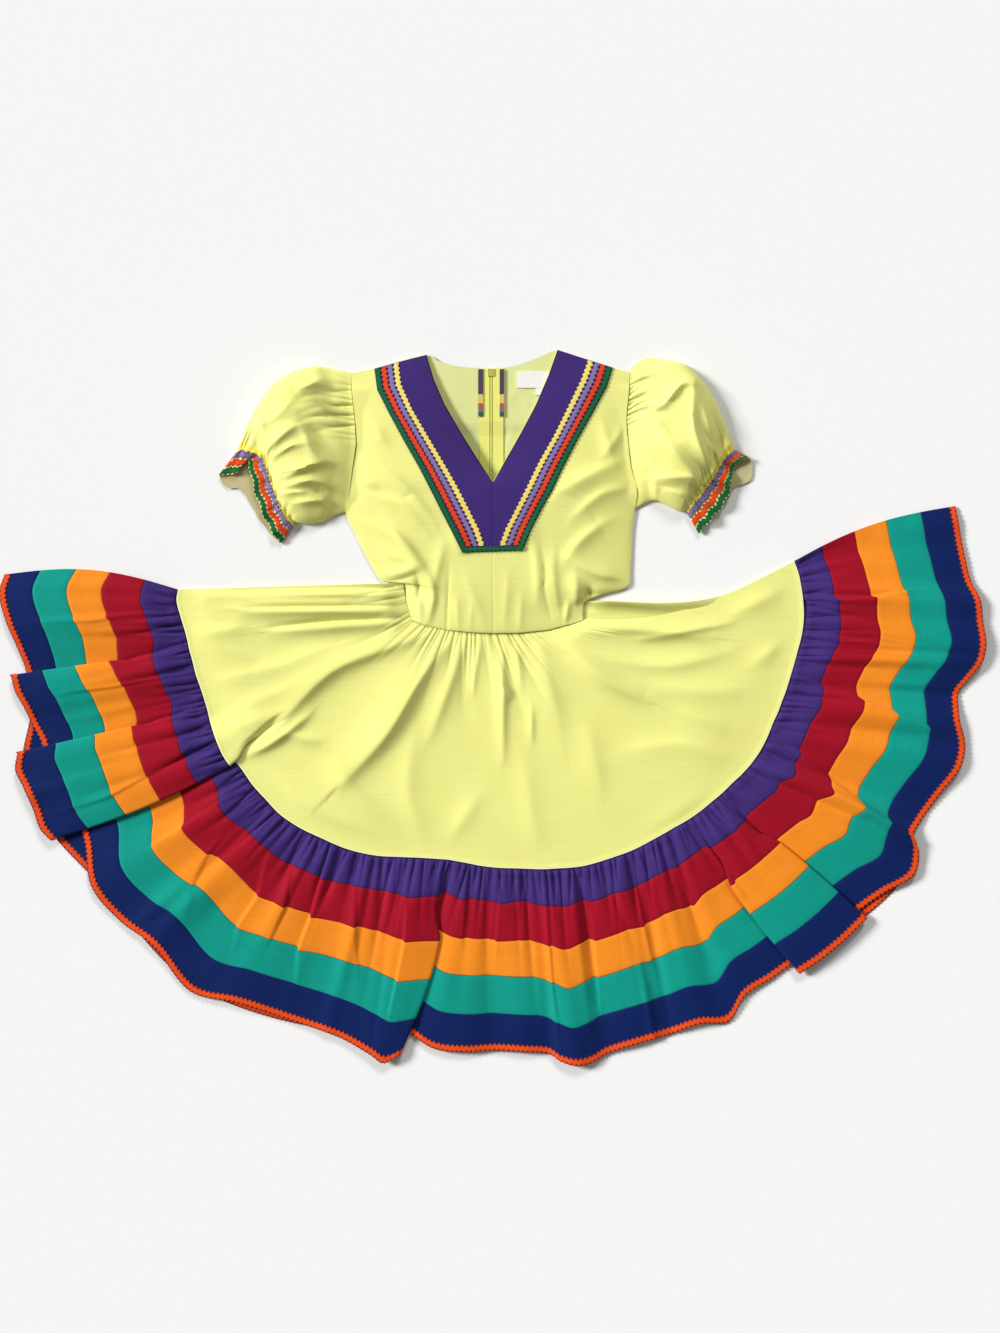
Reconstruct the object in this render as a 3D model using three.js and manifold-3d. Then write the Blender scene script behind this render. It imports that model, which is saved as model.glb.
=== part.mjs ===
// Square dance dress laid flat on its back: neck towards +Y, front up, millimetres.
// The origin is the middle of the dress on the surface it lies on.
import * as THREE from 'three';
import { mergeVertices } from 'three/addons/utils/BufferGeometryUtils.js';
import ManifoldModule from 'manifold-3d';

// Cloth and the gaps between pieces
const WALL = 1.2;              // doubled cotton cloth with its hem turnings
const TRIM_WALL = 1.1;         // rick rack
const SEAM_GAP = 0.4;          // between pieces that are sewn edge to edge
const LAY_GAP = 0.35;          // between a piece and what it lies on
const LAYER = 3.3;             // rise of one turn of a fold over the one below
const BACK_BED = WALL / 2;     // mid height of the layer that rests
const TURN_STEP = 1.3;         // along the skirt seam, on each side of a fold's round edge
const FULL_FOLD = 6;           // overlap at which a fold's edge is fully round
const FOLD_DRAW = 0.7;
const FOLD_OPENS = [0.19, 0.395]; // shares of the ruffle over which a fold opens out
const FRONT_BED = 2.5;         // mid height of the front skirt where it lies lowest

// Ruffle: five strips and the hem trim, as shares of its depth
const STRIP_EDGES = [0, 0.19, 0.395, 0.59, 0.795, 0.955, 1];
const STRIP_NAMES = ['purple', 'crimson', 'orange', 'teal', 'navy', 'rickrack_hem'];
const GATHER_PITCH = 21;       // one purple gather along the skirt seam
const GATHER_RISE = 4.2;
const HEM_INSET = 9;           // how far the back hem lies inside the front one

// Waist gathers and the zip
const WAIST_GATHER_RISE = 3;
const ZIP_X = -4;              // centre back as it lies
const ZIP_TOP = 476;
const ZIP_BOTTOM = 118;
const CENTRE_X = -1.5;         // centre front seam as it lies

const PALETTE = {
  yellow: 0xe6ec8a,
  purple: 0x42306e,
  crimson: 0xaf0a2d,
  orange: 0xf09628,
  teal: 0x009b8c,
  navy: 0x0a2860,
  hemTrim: 0xe85c25,
  lilac: 0x8273a5,
  green: 0x1c7048,
  trimYellow: 0xf2de78,
  beige: 0xc2b982,
  white: 0xf4f2ec,
  nickel: 0xb9b7b0,
};

const clamp = (value, low, high) => Math.min(high, Math.max(low, value));
const mix = (a, b, t) => a + (b - a) * t;
const mixPlan = (a, b, t) => [mix(a[0], b[0], t), mix(a[1], b[1], t)];
const ramp = (value, low, high) => {
  const t = clamp((value - low) / (high - low), 0, 1);
  return t * t * (3 - 2 * t);
};
const planDistance = (a, b) => Math.hypot(b[0] - a[0], b[1] - a[1]);

function unit(a, b) {
  const length = planDistance(a, b) || 1;
  return [(b[0] - a[0]) / length, (b[1] - a[1]) / length];
}

// Soft ridges, each along a straight line in plan: from, to, rise and half width.
const SKIRT_RIDGES = [
  { from: [-128, 166], to: [-400, 158], rise: 3.5, half: 9 },
  { from: [-126, 136], to: [-350, 137], rise: 4.5, half: 10 },
  { from: [-116, 122], to: [-310, 108], rise: 4, half: 10 },
  { from: [-78, 112], to: [-309, -29], rise: 5, half: 12 },
  { from: [-63, 100], to: [-172, -71], rise: 6, half: 12 },
  { from: [-172, -71], to: [-258, -129], rise: 3, half: 16 },
  { from: [12, 96], to: [13, -70], rise: 3.5, half: 10 },
  { from: [60, 100], to: [95, -40], rise: 2.5, half: 14 },
  { from: [96, 98], to: [210, 13], rise: 5, half: 13 },
  { from: [120, 108], to: [300, 100], rise: 4.5, half: 13 },
  { from: [210, 31], to: [330, 24], rise: 2.5, half: 16 },
  { from: [217, -175], to: [300, -119], rise: 2, half: 16 },
];

const BODICE_RIDGES = [
  { from: [-190, 350], to: [-85, 262], rise: 3.5, half: 12 },
  { from: [-150, 262], to: [-99, 190], rise: 4, half: 10 },
  { from: [-160, 186], to: [-104, 200], rise: 3.5, half: 9 },
  { from: [-88, 190], to: [-80, 122], rise: 4, half: 8 },
  { from: [-40, 190], to: [-12, 112], rise: 2, half: 10 },
  { from: [175, 345], to: [88, 300], rise: 3.5, half: 12 },
  { from: [100, 214], to: [184, 180], rise: 4.5, half: 9 },
  { from: [112, 190], to: [118, 140], rise: 4, half: 9 },
  { from: [72, 230], to: [74, 130], rise: 2.5, half: 7 },
];

function ridgeHeight(ridges, x, y) {
  let height = 0;
  for (const { from, to, rise, half } of ridges) {
    const [ux, uy] = unit(from, to);
    const along = (x - from[0]) * ux + (y - from[1]) * uy;
    const share = clamp(along / planDistance(from, to), 0, 1);
    const away = Math.hypot(x - mix(from[0], to[0], share), y - mix(from[1], to[1], share));
    height += rise * Math.exp(-((away / half) ** 2)) * Math.sin(Math.PI * mix(0.12, 0.88, share));
  }
  return height;
}

// Closed walls from a middle surface.
// A row is a list of { at, p }: at orders the points along the row, p is the point.
function stitchRows(rows, faceDown) {
  const points = [];
  const faces = [];
  const numbered = rows.map((row) => row.map(({ at, p }) => {
    points.push(p);
    return { at, id: points.length - 1 };
  }));
  const add = (a, b, c) => faces.push(faceDown ? [a, c, b] : [a, b, c]);
  for (let k = 0; k + 1 < numbered.length; k += 1) {
    const near = numbered[k];
    const far = numbered[k + 1];
    let i = 0;
    let j = 0;
    while (i + 1 < near.length || j + 1 < far.length) {
      const nextNear = i + 1 < near.length ? near[i + 1].at : Infinity;
      const nextFar = j + 1 < far.length ? far[j + 1].at : Infinity;
      if (nextNear <= nextFar) {
        add(near[i].id, far[j].id, near[i + 1].id);
        i += 1;
      } else {
        add(near[i].id, far[j].id, far[j + 1].id);
        j += 1;
      }
    }
  }
  return { points, faces };
}

// Joins the last point of each row to its first, for a tube.
function closeRound({ points, faces }) {
  const kept = [];
  const seen = new Map();
  const ids = points.map((p) => {
    const key = `${p.x.toFixed(3)},${p.y.toFixed(3)},${p.z.toFixed(3)}`;
    if (!seen.has(key)) {
      seen.set(key, kept.length);
      kept.push(p);
    }
    return seen.get(key);
  });
  const joined = faces.map((face) => face.map((id) => ids[id]));
  return {
    points: kept,
    faces: joined.filter(([a, b, c]) => a !== b && b !== c && c !== a),
  };
}

// The outward direction at each point, long enough to keep the wall's thickness on slopes.
function wallDirections({ points, faces }) {
  const sums = points.map(() => new THREE.Vector3());
  const around = points.map(() => []);
  for (const face of faces) {
    const [a, b, c] = face.map((id) => points[id]);
    const normal = b.clone().sub(a).cross(c.clone().sub(a)).normalize();
    face.forEach((id, k) => {
      const toNext = points[face[(k + 1) % 3]].clone().sub(points[id]);
      const toLast = points[face[(k + 2) % 3]].clone().sub(points[id]);
      const angle = toNext.angleTo(toLast);
      sums[id].addScaledVector(normal, angle);
      around[id].push({ normal, angle });
    });
  }
  return sums.map((sum, id) => {
    const direction = sum.normalize();
    const whole = around[id].reduce((total, { angle }) => total + angle, 0);
    const facing = around[id].reduce((total, { normal, angle }) => total + normal.dot(direction) * angle, 0);
    return direction.multiplyScalar(1 / clamp(facing / whole, 0.72, 1));
  });
}

function thicken(surface, wall, directions = wallDirections(surface)) {
  const { points, faces } = surface;
  const positions = [];
  for (const side of [0.5, -0.5]) {
    points.forEach((p, id) => {
      const q = p.clone().addScaledVector(directions[id], wall * side);
      positions.push(q.x, q.y, q.z);
    });
  }
  const under = points.length;
  const indices = [];
  const open = new Map();
  for (const [a, b, c] of faces) {
    indices.push(a, b, c, a + under, c + under, b + under);
    for (const [from, to] of [[a, b], [b, c], [c, a]]) {
      if (!open.delete(`${to}>${from}`)) {
        open.set(`${from}>${to}`, [from, to]);
      }
    }
  }
  for (const [from, to] of open.values()) {
    if (from < to) {
      indices.push(from + under, to + under, to, from + under, to, from);
    } else {
      indices.push(from + under, to + under, from, to + under, to, from);
    }
  }
  const geometry = new THREE.BufferGeometry();
  geometry.setAttribute('position', new THREE.Float32BufferAttribute(positions, 3));
  geometry.setIndex(indices);
  return geometry;
}

// The same surface moved out by a height, for what lies on it.
function liftedRows(rows, lift, faceDown) {
  const surface = stitchRows(rows, faceDown);
  const directions = wallDirections(surface);
  let id = 0;
  return rows.map((row) => row.map(({ at, p }) => {
    const q = p.clone().addScaledVector(directions[id], lift);
    id += 1;
    return { at, p: q };
  }));
}

const dress = new THREE.Group();

function addMesh(name, geometry, color, roughness = 0.85, metalness = 0) {
  geometry.computeVertexNormals();
  const material = new THREE.MeshStandardMaterial({ color, roughness, metalness });
  const mesh = new THREE.Mesh(geometry, material);
  mesh.name = name;
  dress.add(mesh);
}

const addSheet = (name, rows, wall, color, faceDown = false) =>
  addMesh(name, thicken(stitchRows(rows, faceDown), wall), color);

const addTube = (name, rows, wall, color, faceDown = false) =>
  addMesh(name, thicken(closeRound(stitchRows(rows, faceDown)), wall), color);

// Ruffle stations, from the left side seam round the bottom to the right side seam.
// seam: point on the skirt seam. hem: point on the lower edge. rise: height over the bed.
// turn: [rise before, rise after], where the cloth turns back on itself. bow: sideways curve.
// slip: shift of the strip borders towards the hem. lap: shift of the seam point in the big fold,
// which runs on into the skirt. seamRise: height of the seam over the bed.
const STATIONS = [
  { seam: [-442, 167], hem: [-685, 188], rise: 0, bow: -17 },
  { seam: [-444, 152], hem: [-692, 163], rise: 4, bow: -8, slip: 0.03 },
  { seam: [-438, 128], hem: [-682, 122], rise: 7, slip: 0.02 },
  { seam: [-432, 108], hem: [-667, 86], rise: 4, slip: 0.02 },
  { seam: [-428.5, 94], hem: [-655, 53], rise: 0, slip: 0.04 },
  { seam: [-427.5, 89], hem: [-653, 22], turn: [0, LAYER], slip: 0.04 },
  { seam: [-426, 82], hem: [-675, 46], turn: [LAYER, 2 * LAYER], slip: 0.05 },
  { seam: [-422.5, 70], hem: [-669, 24], rise: 7.4, slip: 0.04 },
  { seam: [-417, 48], hem: [-657, 2], rise: 5.5, slip: 0.02 },
  { seam: [-410, 28], hem: [-647, -20], rise: 1.5, slip: 0.02 },
  { seam: [-404.5, 11], hem: [-633, -50], rise: 0, slip: 0.03 },
  { seam: [-403, 6], hem: [-636, -84], turn: [0, LAYER], slip: 0.03 },
  { seam: [-401, -1], hem: [-666, -62], turn: [LAYER, 2 * LAYER] },
  { seam: [-398, -14], hem: [-669, -84], rise: 7.6 },
  { seam: [-393, -30], hem: [-657, -110], rise: 8.5, seamRise: 4 },
  { seam: [-387, -46], hem: [-644, -140], rise: 7.2, seamRise: 7 },
  { seam: [-381, -58], hem: [-634, -168], rise: 7, lap: [2, -6], seamRise: 7 },
  { seam: [-375, -66], hem: [-621, -182], turn: [2 * LAYER, LAYER], lap: [5, -12],
    seamTurn: [2 * LAYER, LAYER], bow: 8 },
  { seam: [-370, -72], hem: [-606, -136], turn: [LAYER, 0], lap: [-20, 24], seamTurn: [LAYER, 0] },
  { seam: [-364, -79], hem: [-586, -150], rise: 0, lap: [4, 3] },
  { seam: [-354, -89], hem: [-573, -186], rise: 1, lap: [3, 2] },
  { seam: [-338, -106], hem: [-563, -248], rise: 5, slip: 0.03 },
  { seam: [-318, -128], hem: [-524, -296], rise: 2, slip: 0.02 },
  { seam: [-300, -147], hem: [-478, -330], rise: 4.5 },
  { seam: [-272, -166], hem: [-424, -396], rise: 1 },
  { seam: [-245, -179], hem: [-360, -411], rise: 4.5, slip: 0.02 },
  { seam: [-205, -196], hem: [-290, -434], rise: 1 },
  { seam: [-165, -205], hem: [-215, -460], rise: 4 },
  { seam: [-130, -207], hem: [-172, -484], rise: 6.8 },
  { seam: [-105, -208], hem: [-155, -495], rise: 7.6 },
  { seam: [-66, -210.5], hem: [-134, -485], turn: [2 * LAYER, LAYER], bow: 17 },
  { seam: [-62, -211], hem: [-158, -448], turn: [LAYER, 0], bow: -4 },
  { seam: [-57, -212], hem: [-124, -452], rise: 0, bow: 3 },
  { seam: [-40, -215], hem: [-85, -475], rise: 3 },
  { seam: [-20, -219], hem: [-42, -480], rise: 5 },
  { seam: [5, -222], hem: [2, -478], rise: 2 },
  { seam: [35, -223], hem: [45, -480], rise: 4.5 },
  { seam: [60, -224], hem: [78, -483], rise: 1.5 },
  { seam: [72, -224], hem: [94, -493], rise: 6 },
  { seam: [88, -223], hem: [117, -499], rise: 8.5, slip: 0.02 },
  { seam: [106, -222], hem: [137, -495], rise: 5 },
  { seam: [128, -219], hem: [158, -483], rise: 1.5 },
  { seam: [162, -209], hem: [203, -468], rise: 4.5 },
  { seam: [195, -197], hem: [248, -455], rise: 1.5 },
  { seam: [222, -183], hem: [288, -441], rise: 5 },
  { seam: [240, -173], hem: [328, -438], rise: 1 },
  { seam: [252, -166], hem: [352, -401], rise: 2.5 },
  { seam: [261, -161], hem: [388, -378], rise: 1 },
  { seam: [268, -157], hem: [417, -358], rise: 0 },
  { seam: [272, -154.5], hem: [450, -338], turn: [0, LAYER] },
  { seam: [276, -152], hem: [429, -369], turn: [LAYER, 2 * LAYER], bow: -9 },
  { seam: [290, -142], hem: [452, -354], rise: 8 },
  { seam: [302, -132], hem: [487, -326], rise: 8 },
  { seam: [313, -123], hem: [520, -294], turn: [2 * LAYER, LAYER], bow: 5 },
  { seam: [317, -119.5], hem: [484, -311], turn: [LAYER, 0] },
  { seam: [321, -116], hem: [513, -281], rise: 0 },
  { seam: [332, -105], hem: [548, -256], rise: 2 },
  { seam: [345, -93], hem: [588, -231], rise: 5 },
  { seam: [357, -80], hem: [594, -201], rise: 5 },
  { seam: [367, -67], hem: [586, -177], rise: 8, slip: 0.07, bow: 4 },
  { seam: [374, -56], hem: [594, -162], rise: 1.5, slip: 0.03 },
  { seam: [383, -38], hem: [622, -122], rise: 2 },
  { seam: [391, -18], hem: [653, -80], rise: 5 },
  { seam: [397, -5], hem: [659, -48], rise: 2.5 },
  { seam: [403, 11], hem: [652, -18], rise: 5, slip: 0.03 },
  { seam: [409, 27], hem: [650, 2], rise: 1.5, slip: 0.02 },
  { seam: [413, 40], hem: [651, 24], rise: 0.5 },
  { seam: [419, 60], hem: [668, 46], rise: 3 },
  { seam: [425, 82], hem: [684, 68], rise: 6.5, slip: 0.02 },
  { seam: [431, 106], hem: [688, 92], rise: 7, slip: 0.03 },
  { seam: [433.5, 131], hem: [684, 122], rise: 4 },
  { seam: [432, 156], hem: [680, 152], rise: 6.5 },
  { seam: [429, 176], hem: [668, 178], rise: 1.5 },
  { seam: [426, 190], hem: [659, 214], rise: 2, bow: 4 },
  { seam: [420, 207], hem: [646, 284], rise: 0, bow: 13 },
];

// The skirt seam fans out from this line, just below the bodice.
const WAIST = [
  [-127, 176], [-123, 149], [-115, 123.5], [-93, 116.2], [-63, 109.8], [-30, 106.5],
  [0, 105.4], [37, 106], [75, 110], [112, 119.5], [131, 126.5],
];
const WAIST_BACK = [...WAIST, [134, 150]];
const FAN_CENTRE = [-6, 202];

function pointAlong(line, share) {
  const steps = line.slice(1).map((p, k) => planDistance(line[k], p));
  let left = clamp(share, 0, 1) * steps.reduce((a, b) => a + b, 0);
  for (let k = 0; k < steps.length; k += 1) {
    if (left <= steps[k] || k === steps.length - 1) {
      return mixPlan(line[k], line[k + 1], clamp(left / steps[k], 0, 1));
    }
    left -= steps[k];
  }
  return line[line.length - 1];
}

function fanAngle([x, y]) {
  const angle = Math.atan2(y - FAN_CENTRE[1], x - FAN_CENTRE[0]);
  return angle < -0.5 * Math.PI ? angle + 2 * Math.PI : angle + (angle < 1 ? 2 * Math.PI : 0);
}

// A turn becomes three stations: before it, at its round edge and after it. Two turns in a row
// are the two sides of one fold, and pair holds both with the way the cloth runs back between them.
function expandTurns(stations) {
  const plain = stations.map((station) => ({
    rise: 0, seamRise: 0, bow: 0, slip: 0, lap: [0, 0], out: 0, travel: [0, 0], ...station,
  }));
  plain.forEach((base, k) => {
    if (base.turn && !base.seamTurn) {
      const isFirst = Boolean(plain[k + 1].turn);
      const before = plain[isFirst ? k - 1 : k - 2];
      const after = plain[isFirst ? k + 2 : k + 1];
      base.nearHem = mixPlan(before.hem, after.hem, isFirst ? 1 / 3 : 2 / 3);
    }
  });
  return plain.flatMap((base, k) => {
    if (!base.turn) {
      return [base];
    }
    const first = plain[k + 1].turn ? k : k - 1;
    const pair = {
      first: plain[first],
      second: plain[first + 1],
      back: unit(plain[first].hem, plain[first + 1].hem),
    };
    const travel = unit(plain[k - 1].hem, base.hem);
    const seamWay = unit(plain[k - 1].seam, plain[k + 1].seam);
    const [before, after] = base.turn;
    const [seamBefore, seamAfter] = base.seamTurn ?? [0, 0];
    return [-1, 0, 1].map((side) => ({
      ...base,
      side,
      seamWay,
      rise: mix(before, after, (side + 1) / 2),
      seamRise: mix(seamBefore, seamAfter, (side + 1) / 2),
      out: side === 0 ? LAYER / 2 : 0,
      runsIntoSkirt: Boolean(base.seamTurn),
      folded: true,
      place: (side + 1 + (first === k ? 0 : 3)) / 5,
      travel,
      pair,
    }));
  });
}

// Shift of a fold's three stations in plan, from how far its two sides lie over each other:
// side by side along the seam where they don't, a round edge where they do.
function foldShift(station, planOf) {
  if (!station.folded) {
    return [0, 0];
  }
  const { first, second, back } = station.pair;
  const [ax, ay] = planOf(first);
  const [bx, by] = planOf(second);
  const folding = clamp(((bx - ax) * back[0] + (by - ay) * back[1]) / FULL_FOLD, 0, 1);
  const step = TURN_STEP * station.side * (1 - folding);
  const reach = station.out * folding;
  return [0, 1].map((k) => station.seamWay[k] * step + station.travel[k] * reach);
}

// Where a fold starts, its six stations draw together to one steep step. closed runs from 0 to 1
// up to that place, and open from 0 to 1 beyond it. levels are the heights of the six stations.
function foldStep(station, p, planOf, level, closed, open) {
  if (!station.folded) {
    return p;
  }
  const { first, second } = station.pair;
  const middle = mixPlan(planOf(first), planOf(second), 0.5);
  const drawn = FOLD_DRAW * closed * (1 - open);
  const even = mix(level.from, level.to, station.place);
  p.x = mix(p.x, middle[0], drawn);
  p.y = mix(p.y, middle[1], drawn);
  p.z = mix(even, p.z, open);
  return p;
}

// Extra stations where two lie far apart.
function fillStations(stations, longestSeam, longestHem) {
  const list = [stations[0]];
  for (let k = 1; k < stations.length; k += 1) {
    const a = stations[k - 1];
    const b = stations[k];
    const parts = a.folded || b.folded ? 1 : Math.max(
      Math.ceil(planDistance(a.seam, b.seam) / longestSeam),
      Math.ceil(planDistance(a.hem, b.hem) / longestHem),
    );
    for (let n = 1; n < parts; n += 1) {
      const t = n / parts;
      list.push({
        ...a,
        seam: mixPlan(a.seam, b.seam, t),
        hem: mixPlan(a.hem, b.hem, t),
        lap: mixPlan(a.lap, b.lap, t),
        rise: mix(a.rise, b.rise, t),
        seamRise: mix(a.seamRise, b.seamRise, t),
        bow: mix(a.bow, b.bow, t),
        slip: mix(a.slip, b.slip, t),
      });
    }
    list.push(b);
  }
  return list;
}

// A point of the ruffle: share 0 on the skirt seam, 1 at the hem.
function rufflePlan(station, share) {
  const seam = [station.seam[0] + station.lap[0], station.seam[1] + station.lap[1]];
  const along = share + station.slip * Math.sin(Math.PI * clamp(share / 0.955, 0, 1));
  const opening = station.nearHem ? ramp(share, ...FOLD_OPENS) : 1;
  const hem = mixPlan(station.nearHem ?? station.hem, station.hem, opening);
  const [x, y] = mixPlan(seam, hem, along);
  const [dx, dy] = unit(seam, hem);
  const side = station.bow * Math.sin(Math.PI * share) * opening;
  return [x - dy * side, y + dx * side];
}

function rufflePoint(station, share) {
  const [x, y] = rufflePlan(station, share);
  const level = ramp(share, 0, 0.17);
  const planOf = (base) => rufflePlan(base, share);
  const [dx, dy] = foldShift(station, planOf);
  const p = new THREE.Vector3(x + dx, y + dy, FRONT_BED + mix(station.seamRise, station.rise, level));
  if (!station.nearHem) {
    return p;
  }
  const { first, second } = station.pair;
  const ends = { from: FRONT_BED + first.turn[0] * level, to: FRONT_BED + second.turn[1] * level };
  return foldStep(station, p, planOf, ends, ramp(share, 0.03, FOLD_OPENS[0]), ramp(share, ...FOLD_OPENS));
}

function stationAt(stations, at) {
  const k = Math.min(Math.floor(at), stations.length - 2);
  return [stations[k], stations[k + 1], at - k];
}

const folded = fillStations(expandTurns(STATIONS), 90, 120);

function rufflePointAt(at, share) {
  const [a, b, t] = stationAt(folded, at);
  return rufflePoint(a, share).lerp(rufflePoint(b, share), t);
}

// Gathers: crests and hollows in turn along the skirt seam, uneven in height.
function gatherPlaces(stations, pitch) {
  const places = [];
  let crest = false;
  let sinceTurn = pitch;
  for (let k = 0; k + 1 < stations.length; k += 1) {
    const length = planDistance(stations[k].seam, stations[k + 1].seam);
    const inFold = stations[k].folded || stations[k + 1].folded || stations[k - 1]?.folded;
    const parts = inFold ? 1 : Math.max(1, Math.round(length / (pitch / 2)));
    if (inFold) {
      crest = false;
    }
    for (let n = 0; n < parts; n += 1) {
      if (sinceTurn > pitch * 0.35 && !inFold) {
        crest = !crest;
        sinceTurn = 0;
      }
      places.push({ at: k + n / parts, crest });
      sinceTurn += length / parts;
    }
  }
  places.push({ at: stations.length - 1, crest: false });
  return places;
}

const unevenness = (k) => 0.75 + 0.25 * Math.sin(k * 2.399) * Math.cos(k * 0.7);

// A wall direction with no lean across a seam, so that the two edges stay apart.
function uprightAcross(direction, across) {
  const upright = direction.clone().addScaledVector(across, -direction.dot(across)).normalize();
  return upright.multiplyScalar(direction.length());
}

// Strips side by side on one surface. borders are rows of that surface, and each strip
// stops half a seam gap short of the borders it meets.
function addStrips(names, colors, walls, rows, borders) {
  const surface = stitchRows(rows, true);
  const directions = wallDirections(surface);
  const starts = [];
  rows.reduce((sum, row) => {
    starts.push(sum);
    return sum + row.length;
  }, 0);
  const ways = borders.map((b) => rows[b].map(({ at, p }, c) => {
    const next = rows[b + 1];
    const before = rows[b - 1];
    if (!next) {
      return null;
    }
    const same = next.length === rows[b].length;
    const target = same ? next[c].p : rufflePointAt(at, 0.15);
    const start = before && before.length === rows[b].length ? before[c].p : p;
    return target.clone().sub(start).setZ(0).normalize();
  }));
  names.forEach((name, k) => {
    const used = rows.slice(borders[k], borders[k + 1] + 1);
    const leans = used.map((row, r) => row.map((place, c) => directions[starts[borders[k] + r] + c].clone()));
    const placed = used.map((row) => row.map(({ at, p }) => ({ at, p: p.clone() })));
    [[0, k, 1], [used.length - 1, k + 1, -1]].forEach(([edge, border, sign]) => {
      used[edge].forEach((place, c) => {
        const way = ways[border][c];
        if (way) {
          placed[edge][c].p.addScaledVector(way, sign * SEAM_GAP / 2);
          leans[edge][c] = uprightAcross(leans[edge][c], way);
        }
      });
    });
    addMesh(name, thicken(stitchRows(placed, true), walls[k], leans.flat()), colors[k]);
  });
}

const RUFFLE_COLORS = [
  PALETTE.purple, PALETTE.crimson, PALETTE.orange, PALETTE.teal, PALETTE.navy, PALETTE.hemTrim,
];
const ruffleNames = (side) => STRIP_NAMES.map((name, k) => (k < 5 ? `ruffle_${name}_${side}` : `${name}_${side}`));
const RUFFLE_WALLS = [WALL, WALL, WALL, WALL, WALL, TRIM_WALL];

function ruffleFront() {
  const places = gatherPlaces(folded, GATHER_PITCH);
  const row = (share) => folded.map((station, at) => ({ at, p: rufflePointAt(at, share) }));
  const gatheredRow = (share, rise) => places.map(({ at, crest }, k) => {
    const p = rufflePointAt(at, share);
    p.z += crest ? rise * unevenness(k) : 0;
    return { at, p };
  });
  const rows = [
    gatheredRow(0, GATHER_RISE),
    gatheredRow(0.095, GATHER_RISE * 0.75),
    ...STRIP_EDGES.slice(1).map(row),
  ];
  addStrips(ruffleNames('front'), RUFFLE_COLORS, RUFFLE_WALLS, rows, [0, 2, 3, 4, 5, 6, 7]);
}

// The back ruffle lies flat below, just inside the front hem.
const flatStations = STATIONS.filter((station) => !station.turn).map((station, k, list) => {
  const way = unit(station.hem, station.seam);
  const inset = k === 0 || k === list.length - 1 ? 2 : HEM_INSET;
  return {
    rise: 0, slip: 0, lap: [0, 0], out: 0, travel: [0, 0], seamRise: 0,
    seam: station.seam,
    hem: [station.hem[0] + way[0] * inset, station.hem[1] + way[1] * inset],
    bow: k === 0 || k === list.length - 1 ? station.bow : 0,
  };
}).filter((station, k, list) => k % 3 === 0 || k === list.length - 1);

function ruffleBack() {
  const rows = STRIP_EDGES.map((share) => flatStations.map((station, at) => {
    const p = rufflePoint(station, share);
    p.z = BACK_BED;
    return { at, p };
  }));
  addStrips(ruffleNames('back'), RUFFLE_COLORS, RUFFLE_WALLS.map(() => WALL), rows, [0, 1, 2, 3, 4, 5, 6]);
}

// Skirt: straight lines fan out from the waist to the ruffle seam. share 0 is the waist.
const FRONT_SAG = { depth: 25, skew: 0.9 };   // how the right side edge curves down in plan
const BACK_SAG = { depth: 30, skew: 1.3 };
const FOLD_RISE = [0.4, 0.62];  // shares of the skirt over which the big fold lifts
const FOLD_LAP = [0.55, 1];     // and over which it opens
const WAIST_GATHERS = 27;

function fanShare(station) {
  const first = fanAngle(folded[0].seam);
  const last = fanAngle(folded[folded.length - 1].seam);
  return (fanAngle(station.seam) - first) / (last - first);
}

function skirtPlan(station, share, waist, edgeSag) {
  const turn = fanShare(station);
  const opened = ramp(share, ...FOLD_LAP);
  const seam = [station.seam[0] + station.lap[0] * opened, station.seam[1] + station.lap[1] * opened];
  const [x, y] = mixPlan(pointAlong(waist, turn), seam, share);
  return [x, y - edgeSag.depth * ramp(turn, 0.86, 1) * Math.sin(Math.PI * share ** edgeSag.skew)];
}

function skirtPoint(station, share, waist, bed, edgeSag) {
  const [x, y] = skirtPlan(station, share, waist, edgeSag);
  const planOf = (base) => skirtPlan(base, share, waist, edgeSag);
  const [dx, dy] = foldShift(station, planOf);
  const fade = mix(0.2, 1, share);
  const level = ramp(share, ...FOLD_RISE);
  const p = new THREE.Vector3(x + dx * fade, y + dy * fade, bed + station.seamRise * level);
  if (!station.runsIntoSkirt) {
    return p;
  }
  const { first, second } = station.pair;
  const ends = { from: bed + first.seamTurn[0] * level, to: bed + second.seamTurn[1] * level };
  return foldStep(station, p, planOf, ends, ramp(share, 0.3, 0.52), ramp(share, 0.52, 0.68));
}

function skirtFront() {
  const shares = [0, 0.08, 0.2, 0.36, 0.52, 0.68, 0.84, 1];
  const gatherFade = [1, 0.8, 0.35];
  const reach = 430;
  const rows = shares.map((share, r) => folded.map((station, at) => {
    const place = share === 1 ? 1 - SEAM_GAP / 2 / reach : share;
    const p = skirtPoint(station, place, WAIST, FRONT_BED, FRONT_SAG);
    const turn = fanShare(station);
    const wave = 0.5 - 0.5 * Math.cos(2 * Math.PI * WAIST_GATHERS * turn);
    p.z += WAIST_GATHER_RISE * (gatherFade[r] ?? 0) * wave * (0.75 + 0.25 * Math.sin(turn * 47));
    p.z += ridgeHeight(SKIRT_RIDGES, p.x, p.y) * ramp(share, 0, 0.12) * (1 - ramp(share, 0.8, 1));
    return { at, p };
  }));
  const surface = stitchRows(rows, true);
  const directions = wallDirections(surface);
  const last = rows.length - 1;
  const start = surface.points.length - rows[last].length;
  rows[last].forEach(({ p }, c) => {
    const across = p.clone().sub(rows[last - 1][c].p).setZ(0).normalize();
    directions[start + c] = uprightAcross(directions[start + c], across);
  });
  addMesh('skirt_front', thicken(surface, WALL, directions), PALETTE.yellow);
}

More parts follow.
